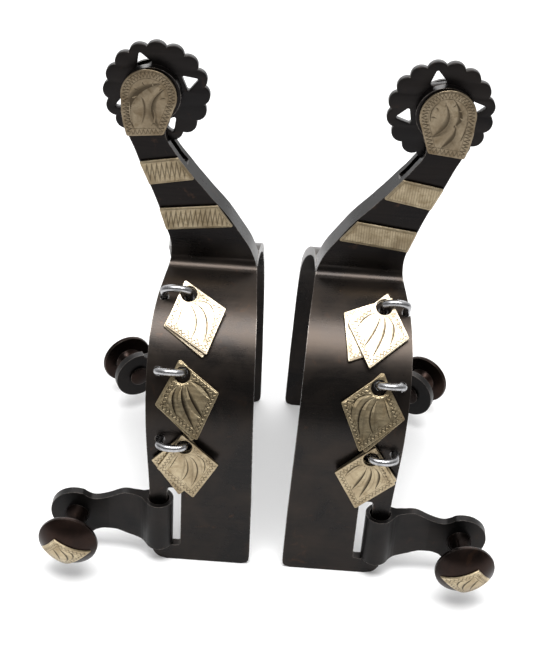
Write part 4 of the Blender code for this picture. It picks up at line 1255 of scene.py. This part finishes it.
def button_patch(side, which, place):
    """Silver diamond bent over a button's dome: a lower and an engraved upper
    layer, joined by walls."""
    face = patch_face()
    count = PATCH_STEPS
    verts, cuts, faces = [], [], []
    for upper in (False, True):
        for j in range(count + 1):
            for i in range(count + 1):
                flat_x = PATCH_FLAT * (i / count - 0.5)
                flat_y = PATCH_FLAT * (j / count - 0.5)
                edge = PATCH_FLAT / 2 - max(abs(flat_x), abs(flat_y))
                at = (grid_index(flat_x, face.low[0], face.pitch, face.nx),
                      grid_index(flat_y, face.low[1], face.pitch, face.ny))
                x, y = patch_point(i / count, j / count)
                height = dome(math.hypot(x, y), which) + PATCH_SEAT
                if upper:                         # engraved, and rounded down at the edge
                    height += (PATCH_T + 0.1 + face.height[at] - PATCH_FIELD
                               - 0.16 * max(0.0, 1 - edge / 0.2) ** 2)
                verts.append((x * MM, y * MM, height * MM))
                cuts.append(float(face.cut[at]) if upper else 0.0)
    row = count + 1
    layer = row * row
    for j in range(count):
        for i in range(count):
            start = j * row + i
            quad = (start, start + 1, start + row + 1, start + row)
            faces.append(tuple(layer + corner for corner in quad))
            faces.append(quad[::-1])
    for k in range(count):
        for a, b in ((k, k + 1), (layer - 1 - k, layer - 2 - k), ((k + 1) * row, k * row),
                     (k * row + count, (k + 1) * row + count)):
            faces.append((a, b, layer + b, layer + a))
    node = f"{side}_{which}_button_patch"
    ob = engraved_mesh(node + "_engraved", verts, faces, cuts, place)
    mount(ob, side, SILVER_PATCH, 45.0, f"{side}_{which}_hanger", node)


# -------------------------------------------------------------------- the pair
def build_hanger(side, which):
    """Hanger with its button and the button's silver diamond."""
    dress = SIDES[side]
    shift = dress["back_arm_x"] if which == "inner" else 0.0
    name = f"{side}_{which}"
    body = name + "_hanger"
    ob, strap_end = hanger(name + "_folded_strap", which, dress["hanger"][which], shift)
    soften(ob, width=0.3, angle=42.0)
    mount(ob, side, STEEL_HANGER, 30.0, body, body)
    place = button_frame(which, strap_end)
    mount(button(name + "_button_turned", place, which), side, BUTTON_RED, 38.0, body,
          name + "_button")
    button_patch(side, which, place)


def build_spur(side):
    dress = SIDES[side]
    root = side + "_frame"
    body = soften(spur_body(side + "_heel_band_and_shank", dress), width=0.38, angle=40.0)
    mount(body, side, STEEL, 32.0, root, side + "_spur_body")
    mount(rowel(side + "_rowel_scalloped", dress["rowel"]), side, STEEL_ROWEL, 50.0,
          side + "_rowel", side + "_rowel")
    mount(rowel_pin(side + "_rowel_pin_turned"), side, STEEL_ROWEL, 40.0,
          root, side + "_rowel_pin")
    head_overlay(side)
    for which in SHANK_BARS:
        shank_bar(side, which)
    for row, legs in dress["staples"].items():
        node = f"{side}_staple_{row}"
        mount(staple(node + "_wire", *legs), side, WIRE, 50.0, root, node)
        for layer in ("front", "back"):
            hanging_plate(side, row, layer)
    for which in ("outer", "inner"):
        build_hanger(side, which)


for spur_side in SIDES:
    build_spur(spur_side)


# --------------------------------------------------------------- stage and light
def white_floor():
    mesh = bpy.data.meshes.new("floor")
    bm = bmesh.new()
    bmesh.ops.create_grid(bm, x_segments=1, y_segments=1, size=4.0)
    bm.to_mesh(mesh)
    bm.free()
    floor = bpy.data.objects.new("floor", mesh)
    bpy.context.scene.collection.objects.link(floor)
    floor.location = (0, 0, -0.0001)
    nodes = Nodes(bpy.data.materials.new("white sweep"))
    grain = nodes.noise(nodes.coords(), scale=1400.0, detail=2.0, roughness=0.5)
    color = nodes.mix(grain, (0.95, 0.95, 0.95), (0.93, 0.93, 0.932))
    mesh.materials.append(nodes.surface(color, metallic=0.0, roughness=0.75))
    # a faint glow that only the camera sees
    seen = nodes.add("ShaderNodeLightPath").outputs["Is Camera Ray"]
    inputs = nodes.tree.nodes["Principled BSDF"].inputs
    nodes.feed(inputs["Emission Color"], (1.0, 1.0, 1.0))
    nodes.feed(inputs["Emission Strength"], nodes.maths("MULTIPLY", seen, 0.06))


def studio_world():
    """White surroundings, brighter towards +y and overhead."""
    world = bpy.data.worlds.new("studio")
    bpy.context.scene.world = world
    nodes = Nodes(world)
    direction = nodes.add("ShaderNodeTexCoord").outputs["Generated"]
    split = nodes.add("ShaderNodeSeparateXYZ", Vector=direction).outputs
    behind = nodes.remap(split["Y"], source=(-0.35, 0.65), target=(0.22, 0.95), smooth=True)
    above = nodes.remap(split["Z"], source=(0.55, 1.0), target=(0.0, 0.45), smooth=True)
    background = nodes.tree.nodes["Background"].inputs
    nodes.feed(background["Color"], (1.0, 1.0, 1.0))
    nodes.feed(background["Strength"], nodes.maths("ADD", behind, above))


def softbox(name, location, target, size, power):
    """Rectangular area light aimed at a target (metres, watts)."""
    light = bpy.data.lights.new(name, "AREA")
    light.shape = "RECTANGLE"
    light.size, light.size_y = size
    light.energy = power
    ob = bpy.data.objects.new(name, light)
    bpy.context.scene.collection.objects.link(ob)
    ob.location = location
    aim = Vector(target) - Vector(location)
    ob.rotation_euler = aim.to_track_quat("-Z", "Y").to_euler()


white_floor()
studio_world()
bpy.context.scene.view_settings.view_transform = "Standard"
bpy.context.scene.view_settings.look = "None"
softbox("overhead softbox", location=(0.0, -0.20, 0.62), target=(0, 0, 0.07),
        size=(0.42, 0.24), power=4.0)
softbox("back strip", location=(0.0, 0.75, 0.45), target=(0, 0, 0.08),
        size=(0.9, 0.25), power=2.8)

# ----------------------------------------------------------------------- camera
CAMERA_AT = (-1.32, -336.64 + PAIR_Y, 298.86)
CAMERA_YAW = -0.64            # degrees, from +y towards +x
CAMERA_PITCH = 34.861         # degrees, downwards
CAMERA_ROLL = 3.701           # degrees
CAMERA_LENS = 69.1773354      # focal length on a 36 mm sensor


def add_camera():
    yaw, pitch, roll = map(math.radians, (CAMERA_YAW, CAMERA_PITCH, CAMERA_ROLL))
    forward = Vector((math.sin(yaw) * math.cos(pitch), math.cos(yaw) * math.cos(pitch),
                      -math.sin(pitch)))
    right = Vector((math.cos(yaw), -math.sin(yaw), 0))
    up = right.cross(forward)
    data = bpy.data.cameras.new("camera")
    data.sensor_width = 36.0
    data.sensor_fit = "AUTO"
    data.lens = CAMERA_LENS
    camera = bpy.data.objects.new("camera", data)
    bpy.context.scene.collection.objects.link(camera)
    camera.matrix_world = axes_frame(CAMERA_AT, math.cos(roll) * right + math.sin(roll) * up,
                                     math.cos(roll) * up - math.sin(roll) * right, -forward)
    bpy.context.scene.camera = camera


add_camera()
